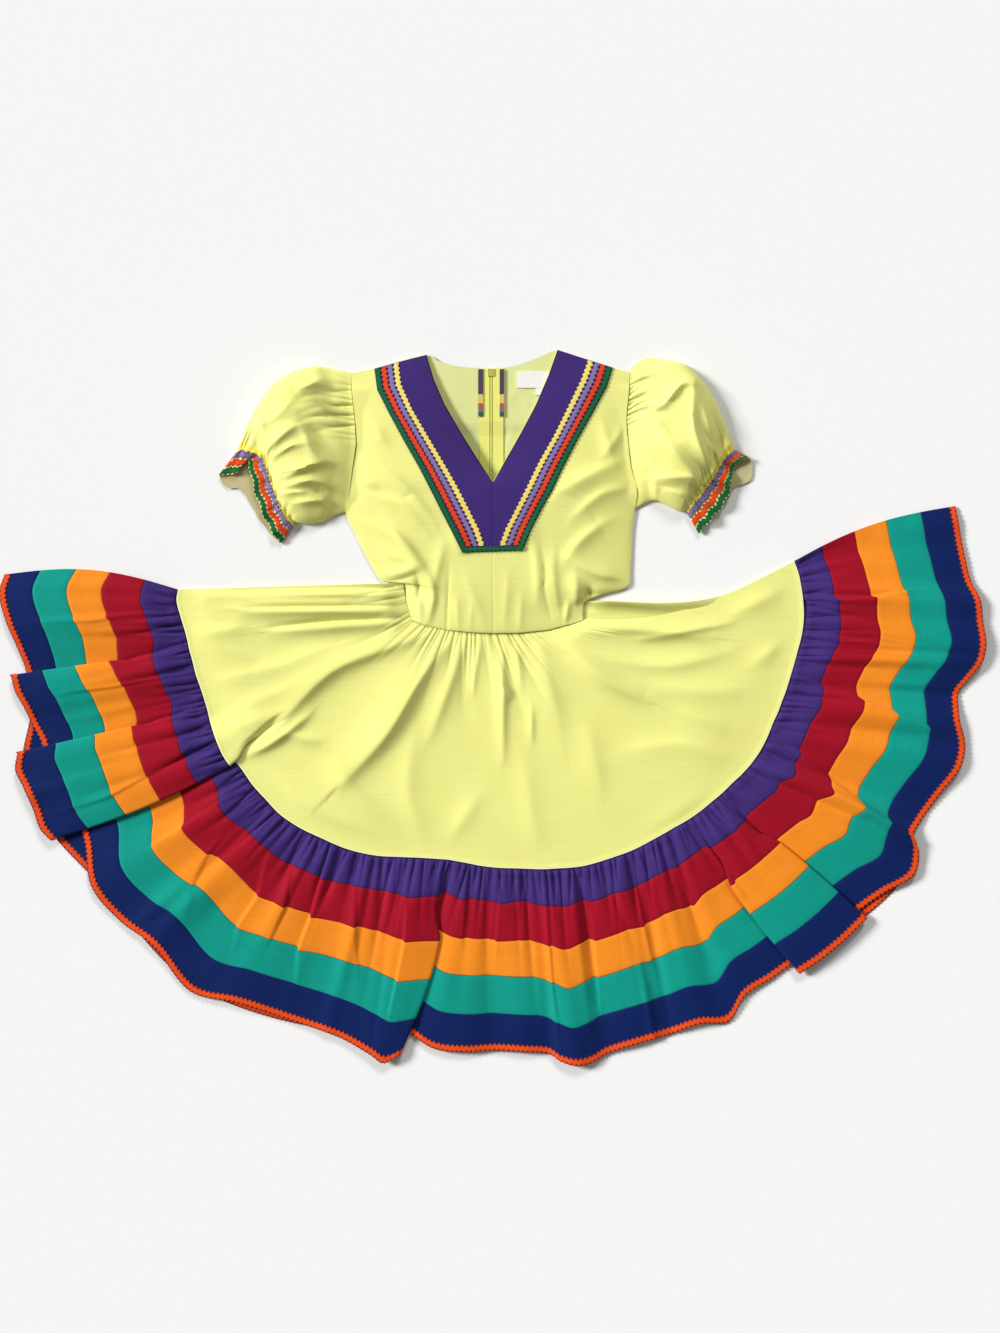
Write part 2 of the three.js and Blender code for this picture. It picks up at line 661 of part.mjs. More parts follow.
function skirtBack() {
  const shares = [0, 0.35, 0.7, 1];
  const rows = shares.map((share) => flatStations.map((station, at) => {
    const place = share === 1 ? 1 - SEAM_GAP / 2 / 430 : share;
    return { at, p: skirtPoint(station, place, WAIST_BACK, BACK_BED, BACK_SAG) };
  }));
  addSheet('skirt_back', rows, WALL, PALETTE.yellow, true);
}

// Bodice sections from the waist seam up to the shoulder seam.
// inner: neckline or centre front. band: outer edge of the purple band. trim: outer edge of the
// green row. outer: side seam or armhole. Heights are mid-cloth heights at inner and outer edges,
// and crown is the extra rise between them.
const BODICE_LEFT = [
  { inner: [CENTRE_X, 106], band: [-10, 106], trim: [-45, 109], outer: [-114, 124], z: [4.6, 4.6], crown: 2 },
  { inner: [CENTRE_X, 128], band: [-10, 128], trim: [-45, 130], outer: [-122, 149], z: [6, 4.2], crown: 5 },
  { inner: [CENTRE_X, 152], band: [-10, 152], trim: [-45, 154], outer: [-126.5, 177], z: [8, 4], crown: 6 },
  { inner: [CENTRE_X, 173], band: [-10, 173], trim: [-45, 174], outer: [-155, 179], z: [9, 3.6], crown: 7 },
  { inner: [CENTRE_X, 196], band: [-10, 196], trim: [-45, 196], outer: [-168, 195], z: [10, 2.8], crown: 7 },
  { inner: [CENTRE_X, 219.5], band: [-10, 219.5], trim: [-44, 218], outer: [-182, 220], z: [11, 2.6], crown: 7 },
  { inner: [CENTRE_X, 250], band: [-20, 250], trim: [-60, 250], outer: [-195, 247], z: [12, 2.6], crown: 8 },
  { inner: [CENTRE_X, 285], band: [-36, 282], trim: [-75, 279], outer: [-207, 273], z: [12.5, 3], crown: 8 },
  { inner: [CENTRE_X, 317], band: [-51, 311], trim: [-88, 305], outer: [-201, 303], z: [12.5, 5], crown: 7 },
  { inner: [-23, 350], band: [-70, 344], trim: [-105, 338], outer: [-197, 336], z: [12, 6], crown: 5 },
  { inner: [-46, 387], band: [-92, 381], trim: [-126, 375], outer: [-192, 370], z: [11.5, 6], crown: 4 },
  { inner: [-68, 425], band: [-114, 419], trim: [-146, 412], outer: [-194, 405], z: [10.5, 6], crown: 3 },
  { inner: [-83, 460], band: [-129, 453], trim: [-163, 446], outer: [-198, 440], z: [8, 5.5], crown: 2 },
  { inner: [-93.5, 495], band: [-133, 485], trim: [-167, 475.5], outer: [-200, 469], z: [5.4, 5], crown: 0 },
];
const BODICE_RIGHT = [
  { inner: [CENTRE_X, 106], band: [7, 106], trim: [41, 107], outer: [124, 126], z: [4.6, 4.6], crown: 2 },
  { inner: [CENTRE_X, 128], band: [7, 128], trim: [41, 129], outer: [125, 147], z: [6, 4.2], crown: 5 },
  { inner: [CENTRE_X, 152], band: [7, 152], trim: [41, 152], outer: [150, 160], z: [8, 4], crown: 6 },
  { inner: [CENTRE_X, 173], band: [7, 173], trim: [41, 173], outer: [187, 172], z: [9, 3.6], crown: 7 },
  { inner: [CENTRE_X, 196], band: [7, 196], trim: [41, 196], outer: [190, 190], z: [10, 2.8], crown: 7 },
  { inner: [CENTRE_X, 219.5], band: [4, 220], trim: [40, 221], outer: [192, 219], z: [11, 2.6], crown: 7 },
  { inner: [CENTRE_X, 250], band: [15, 250], trim: [52, 250], outer: [193.5, 249], z: [12, 2.6], crown: 8 },
  { inner: [CENTRE_X, 285], band: [32, 283], trim: [67, 280], outer: [197, 279], z: [12.5, 3], crown: 8 },
  { inner: [CENTRE_X, 317], band: [46, 311], trim: [82, 306], outer: [199.5, 305], z: [12.5, 5], crown: 7 },
  { inner: [17, 350], band: [62, 344], trim: [97, 338], outer: [191.5, 338], z: [12, 6], crown: 5 },
  { inner: [38, 387], band: [83, 381], trim: [116, 375], outer: [187.5, 371], z: [11.5, 6], crown: 4 },
  { inner: [58, 425], band: [102, 420], trim: [138, 414], outer: [185, 405], z: [10.5, 6], crown: 3 },
  { inner: [75, 465], band: [121, 460], trim: [158, 451], outer: [188, 441], z: [8, 5.5], crown: 2 },
  { inner: [88, 502], band: [131, 488], trim: [166, 477], outer: [190, 470], z: [5.4, 5], crown: 0 },
];
const BAND_INSET = 0.7;        // of the neck band's inner edge from the cloth's edge
const CROSS_ROW = 5;           // the section at the lower edge of the green rows
const OUTER_PARTS = 4;         // columns between the green row and the side seam

// The four trim rows lie between the band line and the trim line.
const TRIM_NAMES = ['yellow', 'lilac', 'orange', 'green'];
const TRIM_COLORS = [PALETTE.trimYellow, PALETTE.lilac, PALETTE.hemTrim, PALETTE.green];

function waistHeightAt(x) {
  for (let k = 1; k < WAIST.length; k += 1) {
    if (x <= WAIST[k][0]) {
      const t = (x - WAIST[k - 1][0]) / (WAIST[k][0] - WAIST[k - 1][0]);
      return mix(WAIST[k - 1][1], WAIST[k][1], t);
    }
  }
  return WAIST[WAIST.length - 1][1];
}

function bodiceRow(section, side, isWaist) {
  const innerX = section.inner[0] === CENTRE_X ? CENTRE_X + side * SEAM_GAP / 2 : section.inner[0];
  const start = [innerX, section.inner[1]];
  const plan = [start, section.band];
  for (let k = 1; k <= TRIM_NAMES.length; k += 1) {
    plan.push(mixPlan(section.band, section.trim, k / TRIM_NAMES.length));
  }
  for (let k = 1; k <= OUTER_PARTS; k += 1) {
    plan.push(mixPlan(section.trim, section.outer, k / OUTER_PARTS));
  }
  const whole = planDistance(start, section.outer);
  return plan.map(([x, y], at) => {
    const share = planDistance(start, [x, y]) / whole;
    const edge = Math.sin(Math.PI * clamp(share * 0.5 + 0.5, 0, 1)) ** 0.6;
    const lift = section.crown * Math.sin(Math.PI * clamp(share, 0, 1)) ** 0.8;
    const base = mix(section.z[1], section.z[0], clamp(edge, 0, 1));
    const px = isWaist ? x : x;
    const py = isWaist ? waistHeightAt(x) + SEAM_GAP + 0.2 : y;
    const z = base + lift + ridgeHeight(BODICE_RIDGES, px, py) * (at === plan.length - 1 ? 0.2 : 1);
    return { at, p: new THREE.Vector3(px, py, z) };
  });
}

function bodiceFront(label, sections, side) {
  const faceDown = side > 0;
  const rows = sections.map((section, k) => bodiceRow(section, side, k === 0));
  addSheet(`bodice_front_${label}`, rows, WALL, PALETTE.yellow, faceDown);
  const bandLift = WALL / 2 + LAY_GAP + TRIM_WALL / 2;
  const bandWidth = 2 + TRIM_NAMES.length;
  const lifted = liftedRows(rows, bandLift, faceDown);
  const bandRows = lifted.slice(CROSS_ROW).map((row) => row.slice(0, bandWidth));
  bandRows.forEach(([edge, next]) => {
    edge.p.lerp(next.p, BAND_INSET / edge.p.distanceTo(next.p));
  });
  addSheet(`neck_band_front_${label}`, bandRows, TRIM_WALL, PALETTE.purple, faceDown);
  const onBand = liftedRows(rows, bandLift + TRIM_WALL + LAY_GAP, faceDown).slice(CROSS_ROW);
  TRIM_NAMES.forEach((name, k) => {
    const trimRows = onBand.map((row, r) => {
      const a = row[k + 1].p;
      const b = row[k + 2].p;
      const inset = SEAM_GAP / 2 / a.distanceTo(b);
      const lower = onBand[r === 0 ? 1 : r];
      const climb = r === 0 && k < 3 ? 8 / lower[k + 1].p.distanceTo(row[k + 1].p) : 0;
      return [inset, 1 - inset].map((t, at) => {
        const p = a.clone().lerp(b, t);
        const above = lower[k + 1].p.clone().lerp(lower[k + 2].p, t);
        return { at, p: p.lerp(above, climb) };
      });
    });
    addSheet(`rickrack_${name}_front_${label}`, trimRows, TRIM_WALL, TRIM_COLORS[k], faceDown);
  });
  return { rows, onBand };
}

// The short green row that closes the rows below the V.
function crossRow(left, right) {
  const depth = 7;
  const inset = 1;
  const line = (row, above, t) => row.slice(1, 5).map((place, k) => place.p.clone().lerp(above[k + 1].p, t));
  const build = (t) => {
    const fromLeft = line(left.onBand[0], left.onBand[1], t).reverse();
    const fromRight = line(right.onBand[0], right.onBand[1], t);
    return [...fromLeft, ...fromRight];
  };
  const rise = depth / 31;
  const rows = [0, rise].map((t) => build(t).map((p, at) => ({ at, p })));
  rows.forEach((row) => {
    row[0].p.x += inset;
    row[row.length - 1].p.x -= inset;
  });
  addSheet('rickrack_green_cross', rows, TRIM_WALL, PALETTE.green, false);
}

// Bodice back: two flat halves, raised on the band that lies below them at the neck.
const BAND_ZONE = [382, 402];  // where the cloth climbs onto the band
const BAND_BED = 3.3;          // mid height of the bodice back over the band
const BACK_LEFT = {
  outer: [[-112, 126], [-120, 150], [-124, 178.6], [-153, 181], [-180, 220], [-205, 272], [-199, 303],
    [-195, 336], [-190, 370], [-191, 382], [-193, 402], [-196, 440], [-198.5, 467]],
  inner: ZIP_X - 6,
};
const BACK_RIGHT = {
  outer: [[119, 128.5], [121, 147], [145, 161.5], [184, 173], [189, 192], [190, 220], [195, 277], [197, 303],
    [189.5, 336], [185.5, 370], [184, 382], [183, 402], [186, 440], [188, 468]],
  inner: ZIP_X + 6,
};
const NECK_LEFT = [[-10, 476.5], [-35, 477.5], [-60, 481], [-78, 487], [-92, 495]];
const NECK_RIGHT = [[2, 476.5], [25, 478.5], [45, 485], [66, 493], [86, 501]];

function bodiceBack(label, half, neck, side) {
  const lastOuter = half.outer[half.outer.length - 1];
  const topLine = [...neck, mixPlan(neck[4], lastOuter, 0.36), mixPlan(neck[4], lastOuter, 0.7), lastOuter];
  const rows = half.outer.slice(0, -1).map(([outerX, outerY], r) => {
    const innerY = r === 0 ? waistHeightAt(half.inner) + 1.2 : outerY;
    return topLine.map((top, at) => {
      const share = planDistance(topLine[0], top) / planDistance(topLine[0], lastOuter);
      const x = mix(half.inner, outerX, share);
      const y = r === 0 ? waistHeightAt(x) + 1.2 : mix(innerY, outerY, share);
      const z = mix(BACK_BED, BAND_BED, ramp(y, ...BAND_ZONE));
      return { at, p: new THREE.Vector3(x, y, z) };
    });
  });
  rows.push(topLine.map(([x, y], at) => ({ at, p: new THREE.Vector3(x, y, BAND_BED) })));
  addSheet(`bodice_back_${label}`, rows, WALL, PALETTE.yellow, side > 0 ? false : true);
}

// The back neck band and its rows lie on the outside of the bodice, so below it here.
function backBand(label, neck, shoulder, zipX, side) {
  const lower = [[zipX, 408], [mix(zipX, shoulder[0], 0.3), 410], [mix(zipX, shoulder[0], 0.6), 424],
    [mix(zipX, shoulder[0], 0.86), 450], shoulder];
  const slice = (from, to, z) => [from, to].map((t) => neck.map((p, at) => {
    const [x, y] = mixPlan(p, lower[at], t);
    return { at, p: new THREE.Vector3(x, y, z) };
  }));
  const wall = 1;
  const rowBed = 0.5;
  const bandBed = rowBed + wall + LAY_GAP;
  addSheet(`neck_band_back_${label}`, slice(0, 1, bandBed), wall, PALETTE.purple, side > 0);
  TRIM_NAMES.forEach((name, k) => {
    const from = 0.56 + 0.11 * k;
    addSheet(`rickrack_${name}_back_${label}`, slice(from + 0.003, from + 0.107, rowBed), wall, TRIM_COLORS[k], side > 0);
  });
}

// Sleeve sections from the armhole to the flared edge. top and bottom are the two ends of the
// flattened ring, height is its thickness, bowFront and bowBack curve its two faces in plan.
const SLEEVE_LEFT = [
  { top: [-200.6, 470], bottom: [-208.5, 276], height: 9, bowFront: 8, bowBack: 8 },
  { top: [-222, 475], bottom: [-222, 271], height: 24, bowFront: 0, bowBack: 2 },
  { top: [-250, 479], bottom: [-240, 263], height: 31, bowFront: 0, bowBack: 0 },
  { top: [-281, 471], bottom: [-256, 260], height: 33, bowFront: 0, bowBack: 0 },
  { top: [-306, 457], bottom: [-266, 259.5], height: 32, bowFront: 0, bowBack: 0 },
  { top: [-328, 428], bottom: [-273, 260.5], height: 29, bowFront: 0, bowBack: 0 },
  { top: [-345, 395], bottom: [-278, 262], height: 23, bowFront: 0, bowBack: -3 },
  { top: [-354, 370], bottom: [-281, 261], height: 14, bowFront: 4, bowBack: -8 },
  { top: [-359, 356], bottom: [-283, 257], height: 8.5, bowFront: 8, bowBack: -10 },
  { top: [-364, 352], bottom: [-287, 250], height: 11, bowFront: 9, bowBack: -12 },
  { top: [-368, 350], bottom: [-293, 241], height: 14, bowFront: 7, bowBack: -17 },
  { top: [-370, 347], bottom: [-299, 232.5], height: 17, bowFront: 4, bowBack: -22 },
];
const SLEEVE_RIGHT = [
  { top: [190.6, 477], bottom: [201, 281], height: 9, bowFront: -9, bowBack: -9 },
  { top: [213, 490.5], bottom: [213, 288.5], height: 24, bowFront: -2, bowBack: -4 },
  { top: [240, 488], bottom: [226, 292], height: 31, bowFront: 0, bowBack: 0 },
  { top: [266, 481], bottom: [238, 287], height: 33, bowFront: 0, bowBack: 0 },
  { top: [286, 464], bottom: [249, 281], height: 32, bowFront: 0, bowBack: 0 },
  { top: [305, 438], bottom: [259, 276], height: 29, bowFront: 0, bowBack: 0 },
  { top: [322, 404], bottom: [265, 272], height: 23, bowFront: 0, bowBack: 2 },
  { top: [333, 376], bottom: [269, 269], height: 14, bowFront: -3, bowBack: 7 },
  { top: [339, 361], bottom: [272, 265], height: 8.5, bowFront: -5, bowBack: 10 },
  { top: [344, 358], bottom: [276, 259], height: 11, bowFront: -3, bowBack: 12 },
  { top: [349, 355], bottom: [281, 253], height: 14, bowFront: 3, bowBack: 15 },
  { top: [353, 351], bottom: [287, 246.5], height: 17, bowFront: 9, bowBack: 17 },
];
const SLEEVE_RIDGES_LEFT = [
  { from: [-303, 452], to: [-205, 384], rise: 5, half: 11 },
  { from: [-340, 366], to: [-280, 396], rise: 4, half: 9 },
  { from: [-315, 330], to: [-205, 338], rise: 4, half: 9 },
  { from: [-300, 318], to: [-206, 296], rise: 4, half: 9 },
];
const SLEEVE_RIDGES_RIGHT = [
  { from: [200, 414], to: [262, 452], rise: 4.5, half: 10 },
  { from: [196, 414], to: [292, 316], rise: 5.5, half: 11 },
  { from: [268, 452], to: [302, 340], rise: 4, half: 9 },
  { from: [204, 318], to: [276, 318], rise: 4, half: 9 },
];
const ELASTIC = 8;             // the section drawn in by elastic
const SLEEVE_ARCS = [30, 30, 24, 20, 20, 20, 22, 26, 26, 26, 26, 26];
const EDGE_HEIGHT = 2.6;       // mid height of the flattened ring's two ends

// One ring: an arc over the top face from end to end and a flat arc back below.
function sleeveRing(section, index, count, bed, ridges, armhole) {
  const { top, bottom, height, bowFront, bowBack } = section;
  const [dx, dy] = unit(top, bottom);
  const upper = Math.round(count * 0.62);
  const row = [];
  for (let k = 0; k <= count; k += 1) {
    const isUpper = k <= upper;
    const turn = isUpper ? Math.PI * k / upper : Math.PI * (1 + (k - upper) / (count - upper));
    let along = (1 - Math.cos(turn)) / 2;
    if (isUpper && index < 2) {
      along = k / upper;
    }
    const swell = Math.abs(Math.sin(turn));
    const bow = (isUpper ? bowFront : bowBack) * Math.sin(Math.PI * along);
    let x = mix(top[0], bottom[0], along) - dy * bow;
    let y = mix(top[1], bottom[1], along) + dx * bow;
    if (index === 0) {
      x = armhole(y);
    }
    let z = isUpper
      ? mix(EDGE_HEIGHT, height, swell ** 0.75)
      : mix(EDGE_HEIGHT, BACK_BED, Math.min(1, swell * 1.7));
    if (isUpper && k > 0 && k < upper) {
      z += ridgeHeight(ridges, x, y) * Math.min(1, swell * 1.5);
      if (index < 2 && along < 0.34 && k % 2 === 1) {
        z += 2.4 - index * 1.2;
      }
      if (index >= ELASTIC - 1 && index <= ELASTIC + 1 && k % 2 === 1) {
        z += index === ELASTIC ? 2.2 : 1.4;
      }
    }
    row.push({ at: turn, p: new THREE.Vector3(x, y, z + bed) });
  }
  row[count].p.copy(row[0].p);
  return row;
}

function armholeLine(sections, side) {
  const edge = sections.slice(7).map((section) => section.outer);
  return (y) => {
    for (let k = 1; k < edge.length; k += 1) {
      if (y <= edge[k][1]) {
        const t = (y - edge[k - 1][1]) / (edge[k][1] - edge[k - 1][1]);
        return mix(edge[k - 1][0], edge[k][0], t) + side * 1.4;
      }
    }
    return edge[edge.length - 1][0] + side * 1.4;
  };
}

function sleeve(label, sections, ridges, armhole, side) {
  const faceDown = side > 0;
  const cuffBed = (index) => (index >= ELASTIC ? TRIM_WALL + LAY_GAP : 0);
  const rows = sections.map((section, k) =>
    sleeveRing(section, k, SLEEVE_ARCS[k], cuffBed(k), ridges, armhole));
  addTube(`sleeve_${label}`, rows, WALL, PALETTE.yellow, faceDown);
  const names = ['lilac', 'orange', 'green'];
  const colors = [PALETTE.lilac, PALETTE.hemTrim, PALETTE.green];
  const shell = closeRound(stitchRows(rows, faceDown));
  const directions = wallDirections(shell);
  const lift = WALL / 2 + LAY_GAP + TRIM_WALL / 2;
  const outward = (p) => {
    const id = shell.points.findIndex((q) => q.distanceTo(p) < 0.002);
    return p.clone().addScaledVector(directions[id], lift);
  };
  const rings = rows.slice(ELASTIC).map((row) => row.map(({ at, p }) => ({ at, p: outward(p) })));
  names.forEach((name, k) => {
    const inset = 0.05;
    const ringRows = [inset, 1 - inset].map((t) => rings[k].map(({ at, p }, n) => ({
      at,
      p: p.clone().lerp(rings[k + 1][n].p, t),
    })));
    addTube(`rickrack_${name}_sleeve_${label}`, ringRows, TRIM_WALL, colors[k], faceDown);
  });
}

// Zip: tapes and coil on the inside, slider round the coil, pull tab on the outside, so below.
const TAPE_WALL = 1;
const COIL = { width: 4, wall: 1.4, top: 472 };
const SLIDER = { width: 9, top: 475.5, bottom: 465, plate: 0.7, outer: 2.75, inner: 5.85 };
const LUG = { width: 0.9, fromY: 467.3, toY: 469.7, bottom: 0.5, inner: 2.8 };
const PIN = { radius: 0.4, y: 468.5, z: 1.3 };
const PULL = { width: 5, length: 24, wall: 0.9, clearance: 0.3, rim: 0.55, z: 1.1 };
const LABEL = { wall: 1, left: 32, right: 84, bottom: 449, top: 472 };
const SIZE_TAB = { left: 58, right: 68, bottom: 439, top: 448.6 };
const TRIM_END = { wall: 1, bottom: 409, top: 475 };

const zipSteps = (top) => [ZIP_BOTTOM, 200, 300, BAND_ZONE[0], 392, BAND_ZONE[1], 440, top];

// A strip beside the zip that follows the bodice back up onto the neck band.
function zipStrip(name, fromX, toX, top, wall, color) {
  const lift = WALL / 2 + LAY_GAP + TAPE_WALL / 2;
  const rows = [fromX, toX].map((x) => zipSteps(top).map((y, at) => {
    const z = mix(BACK_BED, BAND_BED, ramp(y, ...BAND_ZONE)) + lift;
    return { at, p: new THREE.Vector3(x, y, z) };
  }));
  addSheet(name, rows, wall, color, true);
}

function boxGeometry(fromX, toX, fromY, toY, fromZ, toZ) {
  const box = new THREE.BoxGeometry(toX - fromX, toY - fromY, toZ - fromZ);
  return box.translate((fromX + toX) / 2, (fromY + toY) / 2, (fromZ + toZ) / 2);
}

function pinGeometry(radius, fromX, toX, segments) {
  const pin = new THREE.CylinderGeometry(radius, radius, toX - fromX, segments);
  return pin.rotateZ(Math.PI / 2).translate((fromX + toX) / 2, PIN.y, PIN.z);
}

const wasm = await ManifoldModule();
wasm.setup();

function solidOf(geometry) {
  const plain = new THREE.BufferGeometry();
  plain.setAttribute('position', geometry.getAttribute('position'));
  plain.setIndex(geometry.index);
  const merged = mergeVertices(plain, 1e-4);
  return new wasm.Manifold(new wasm.Mesh({
    numProp: 3,
    vertProperties: merged.attributes.position.array,
    triVerts: new Uint32Array(merged.index.array),
  }));
}

function geometryOf(solid) {
  const mesh = solid.getMesh();
  const geometry = new THREE.BufferGeometry();
  geometry.setAttribute('position', new THREE.BufferAttribute(mesh.vertProperties, 3));
  geometry.setIndex(new THREE.BufferAttribute(mesh.triVerts, 1));
  return geometry;
}

function zipSlider() {
  const half = SLIDER.width / 2;
  const gap = PULL.width / 2 + PULL.clearance;
  const x = ZIP_X;
  const parts = [
    boxGeometry(x - half, x + half, SLIDER.bottom, SLIDER.top, SLIDER.outer, SLIDER.outer + SLIDER.plate),
    boxGeometry(x - half, x + half, SLIDER.bottom, SLIDER.top, SLIDER.inner, SLIDER.inner + SLIDER.plate),
    boxGeometry(x - 1, x + 1, 473, SLIDER.top, SLIDER.outer + 0.1, SLIDER.inner + 0.1),
    boxGeometry(x - gap - LUG.width, x - gap, LUG.fromY, LUG.toY, LUG.bottom, LUG.inner),
    boxGeometry(x + gap, x + gap + LUG.width, LUG.fromY, LUG.toY, LUG.bottom, LUG.inner),
    pinGeometry(PIN.radius, x - gap - 0.3, x + gap + 0.3, 12),
  ];
  const solid = wasm.Manifold.union(parts.map(solidOf));
  addMesh('zip_slider', geometryOf(solid), PALETTE.nickel, 0.35, 0.9);
}

function zipPullTab() {
  const half = PULL.width / 2;
  const bore = PIN.radius + PULL.clearance;
  const eye = solidOf(pinGeometry(bore + PULL.rim, ZIP_X - half, ZIP_X + half, 20));
  const from = PIN.y - PULL.length;
  const body = solidOf(boxGeometry(ZIP_X - half, ZIP_X + half, from, PIN.y,
    PULL.z - PULL.wall / 2, PULL.z + PULL.wall / 2));
  const hole = solidOf(pinGeometry(bore, ZIP_X - half - 1, ZIP_X + half + 1, 20));
  const solid = eye.add(body).subtract(hole);
  addMesh('zip_pull_tab', geometryOf(solid), PALETTE.nickel, 0.35, 0.9);
}

function flatPatch(name, left, right, bottom, top, bed, wall, color) {
  addMesh(name, boxGeometry(left, right, bottom, top, bed, bed + wall), color);
}

function insideBack() {
  const bed = BAND_BED + WALL / 2 + LAY_GAP;
  flatPatch('neck_label', LABEL.left, LABEL.right, LABEL.bottom, LABEL.top, bed, LABEL.wall, PALETTE.white);
  flatPatch('size_tab', SIZE_TAB.left, SIZE_TAB.right, SIZE_TAB.bottom, SIZE_TAB.top, bed, LABEL.wall, PALETTE.white);
  const endBed = bed + TAPE_WALL + LAY_GAP;
  flatPatch('trim_end_left', -22, -15, TRIM_END.bottom, TRIM_END.top, endBed, TRIM_END.wall, PALETTE.purple);
  flatPatch('trim_end_right', 8, 14, TRIM_END.bottom, TRIM_END.top, endBed, TRIM_END.wall, PALETTE.purple);
}

ruffleFront();
ruffleBack();
skirtFront();
skirtBack();
const left = bodiceFront('left', BODICE_LEFT, -1);
const right = bodiceFront('right', BODICE_RIGHT, 1);
crossRow(left, right);
bodiceBack('left', BACK_LEFT, NECK_LEFT, -1);
bodiceBack('right', BACK_RIGHT, NECK_RIGHT, 1);
backBand('left', NECK_LEFT, [-166, 473], ZIP_X - 8, -1);
backBand('right', NECK_RIGHT, [163, 474], ZIP_X + 8, 1);
sleeve('left', SLEEVE_LEFT, SLEEVE_RIDGES_LEFT, armholeLine(BODICE_LEFT, -1), -1);
sleeve('right', SLEEVE_RIGHT, SLEEVE_RIDGES_RIGHT, armholeLine(BODICE_RIGHT, 1), 1);
zipStrip('zip_tape_left', ZIP_X - 16, ZIP_X - 2.4, ZIP_TOP, TAPE_WALL, PALETTE.yellow);
zipStrip('zip_tape_right', ZIP_X + 2.4, ZIP_X + 17, ZIP_TOP, TAPE_WALL, PALETTE.yellow);
zipStrip('zip_coil', ZIP_X - COIL.width / 2, ZIP_X + COIL.width / 2, COIL.top, COIL.wall, PALETTE.trimYellow);
zipSlider();
zipPullTab();
insideBack();

export default dress;
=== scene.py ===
import math
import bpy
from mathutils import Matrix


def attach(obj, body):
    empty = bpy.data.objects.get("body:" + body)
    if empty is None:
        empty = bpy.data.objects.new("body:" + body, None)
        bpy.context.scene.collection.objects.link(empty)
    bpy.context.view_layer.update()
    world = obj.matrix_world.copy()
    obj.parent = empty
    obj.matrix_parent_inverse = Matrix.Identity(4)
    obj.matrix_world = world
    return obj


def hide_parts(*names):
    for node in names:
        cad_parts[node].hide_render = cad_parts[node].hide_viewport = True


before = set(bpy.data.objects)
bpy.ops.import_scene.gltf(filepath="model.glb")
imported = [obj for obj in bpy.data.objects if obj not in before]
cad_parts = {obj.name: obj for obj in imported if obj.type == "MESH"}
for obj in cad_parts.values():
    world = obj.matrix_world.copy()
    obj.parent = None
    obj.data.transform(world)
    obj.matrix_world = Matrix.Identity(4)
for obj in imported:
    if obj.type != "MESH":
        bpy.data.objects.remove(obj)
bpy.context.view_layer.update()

from types import SimpleNamespace

import bpy
import numpy as np

# Camera, floor and light: the dress lies on a plain pale floor and is seen from straight above.
# A broad soft lamp stands low to the left, a weaker one beyond the neck, and the surround is bright.
VIEW_CENTRE = (0.0084, 0.0595)      # metres on the floor, in the middle of the picture
VIEW_HEIGHT = 1.866                 # metres of floor over the picture's height
CAMERA_HEIGHT = 3.4
SENSOR_HEIGHT = 36.0                # millimetres
LAMP_TILT = (math.radians(-62), 0, math.radians(72))
LAMP_WIDTH = math.radians(16)
SECOND_TILT = (math.radians(-56), 0, math.radians(-12))
LAMP_ENERGY, SECOND_ENERGY = 3.9, 1.25
SURROUND_STRENGTH = 0.22

bpy.ops.object.select_all(action="DESELECT")
bpy.ops.mesh.primitive_plane_add(size=9, location=(0, 0, -0.0003))
floor = bpy.context.active_object
floor.name = "floor"
bpy.ops.object.transform_apply(location=True)
floor_paint = bpy.data.materials.new("pale floor")
floor_paint.use_nodes = True
floor_look = floor_paint.node_tree.nodes["Principled BSDF"]
floor_look.inputs["Base Color"].default_value = (0.9, 0.9, 0.9, 1)
floor_look.inputs["Roughness"].default_value = 0.9
floor_look.inputs["Specular IOR Level"].default_value = 0.1
floor.data.materials.append(floor_paint)

bpy.ops.object.camera_add(location=(*VIEW_CENTRE, CAMERA_HEIGHT), rotation=(0, 0, 0))
camera = bpy.context.active_object
camera.data.sensor_fit = "VERTICAL"
camera.data.sensor_height = SENSOR_HEIGHT
camera.data.lens = SENSOR_HEIGHT * CAMERA_HEIGHT / VIEW_HEIGHT
bpy.context.scene.camera = camera

bpy.ops.object.light_add(type="SUN", location=(-2, 2, 3), rotation=LAMP_TILT)
lamp = bpy.context.active_object
lamp.data.energy = LAMP_ENERGY
lamp.data.angle = LAMP_WIDTH
bpy.ops.object.light_add(type="SUN", location=(0, 3, 3), rotation=SECOND_TILT)
second_lamp = bpy.context.active_object
second_lamp.data.energy = SECOND_ENERGY
second_lamp.data.angle = LAMP_WIDTH
surround = bpy.data.worlds.new("bright surround")
surround.use_nodes = True
surround.node_tree.nodes["Background"].inputs["Color"].default_value = (1.0, 0.98, 0.92, 1)
surround.node_tree.nodes["Background"].inputs["Strength"].default_value = SURROUND_STRENGTH
bpy.context.scene.world = surround
bpy.context.scene.view_settings.view_transform = "Standard"

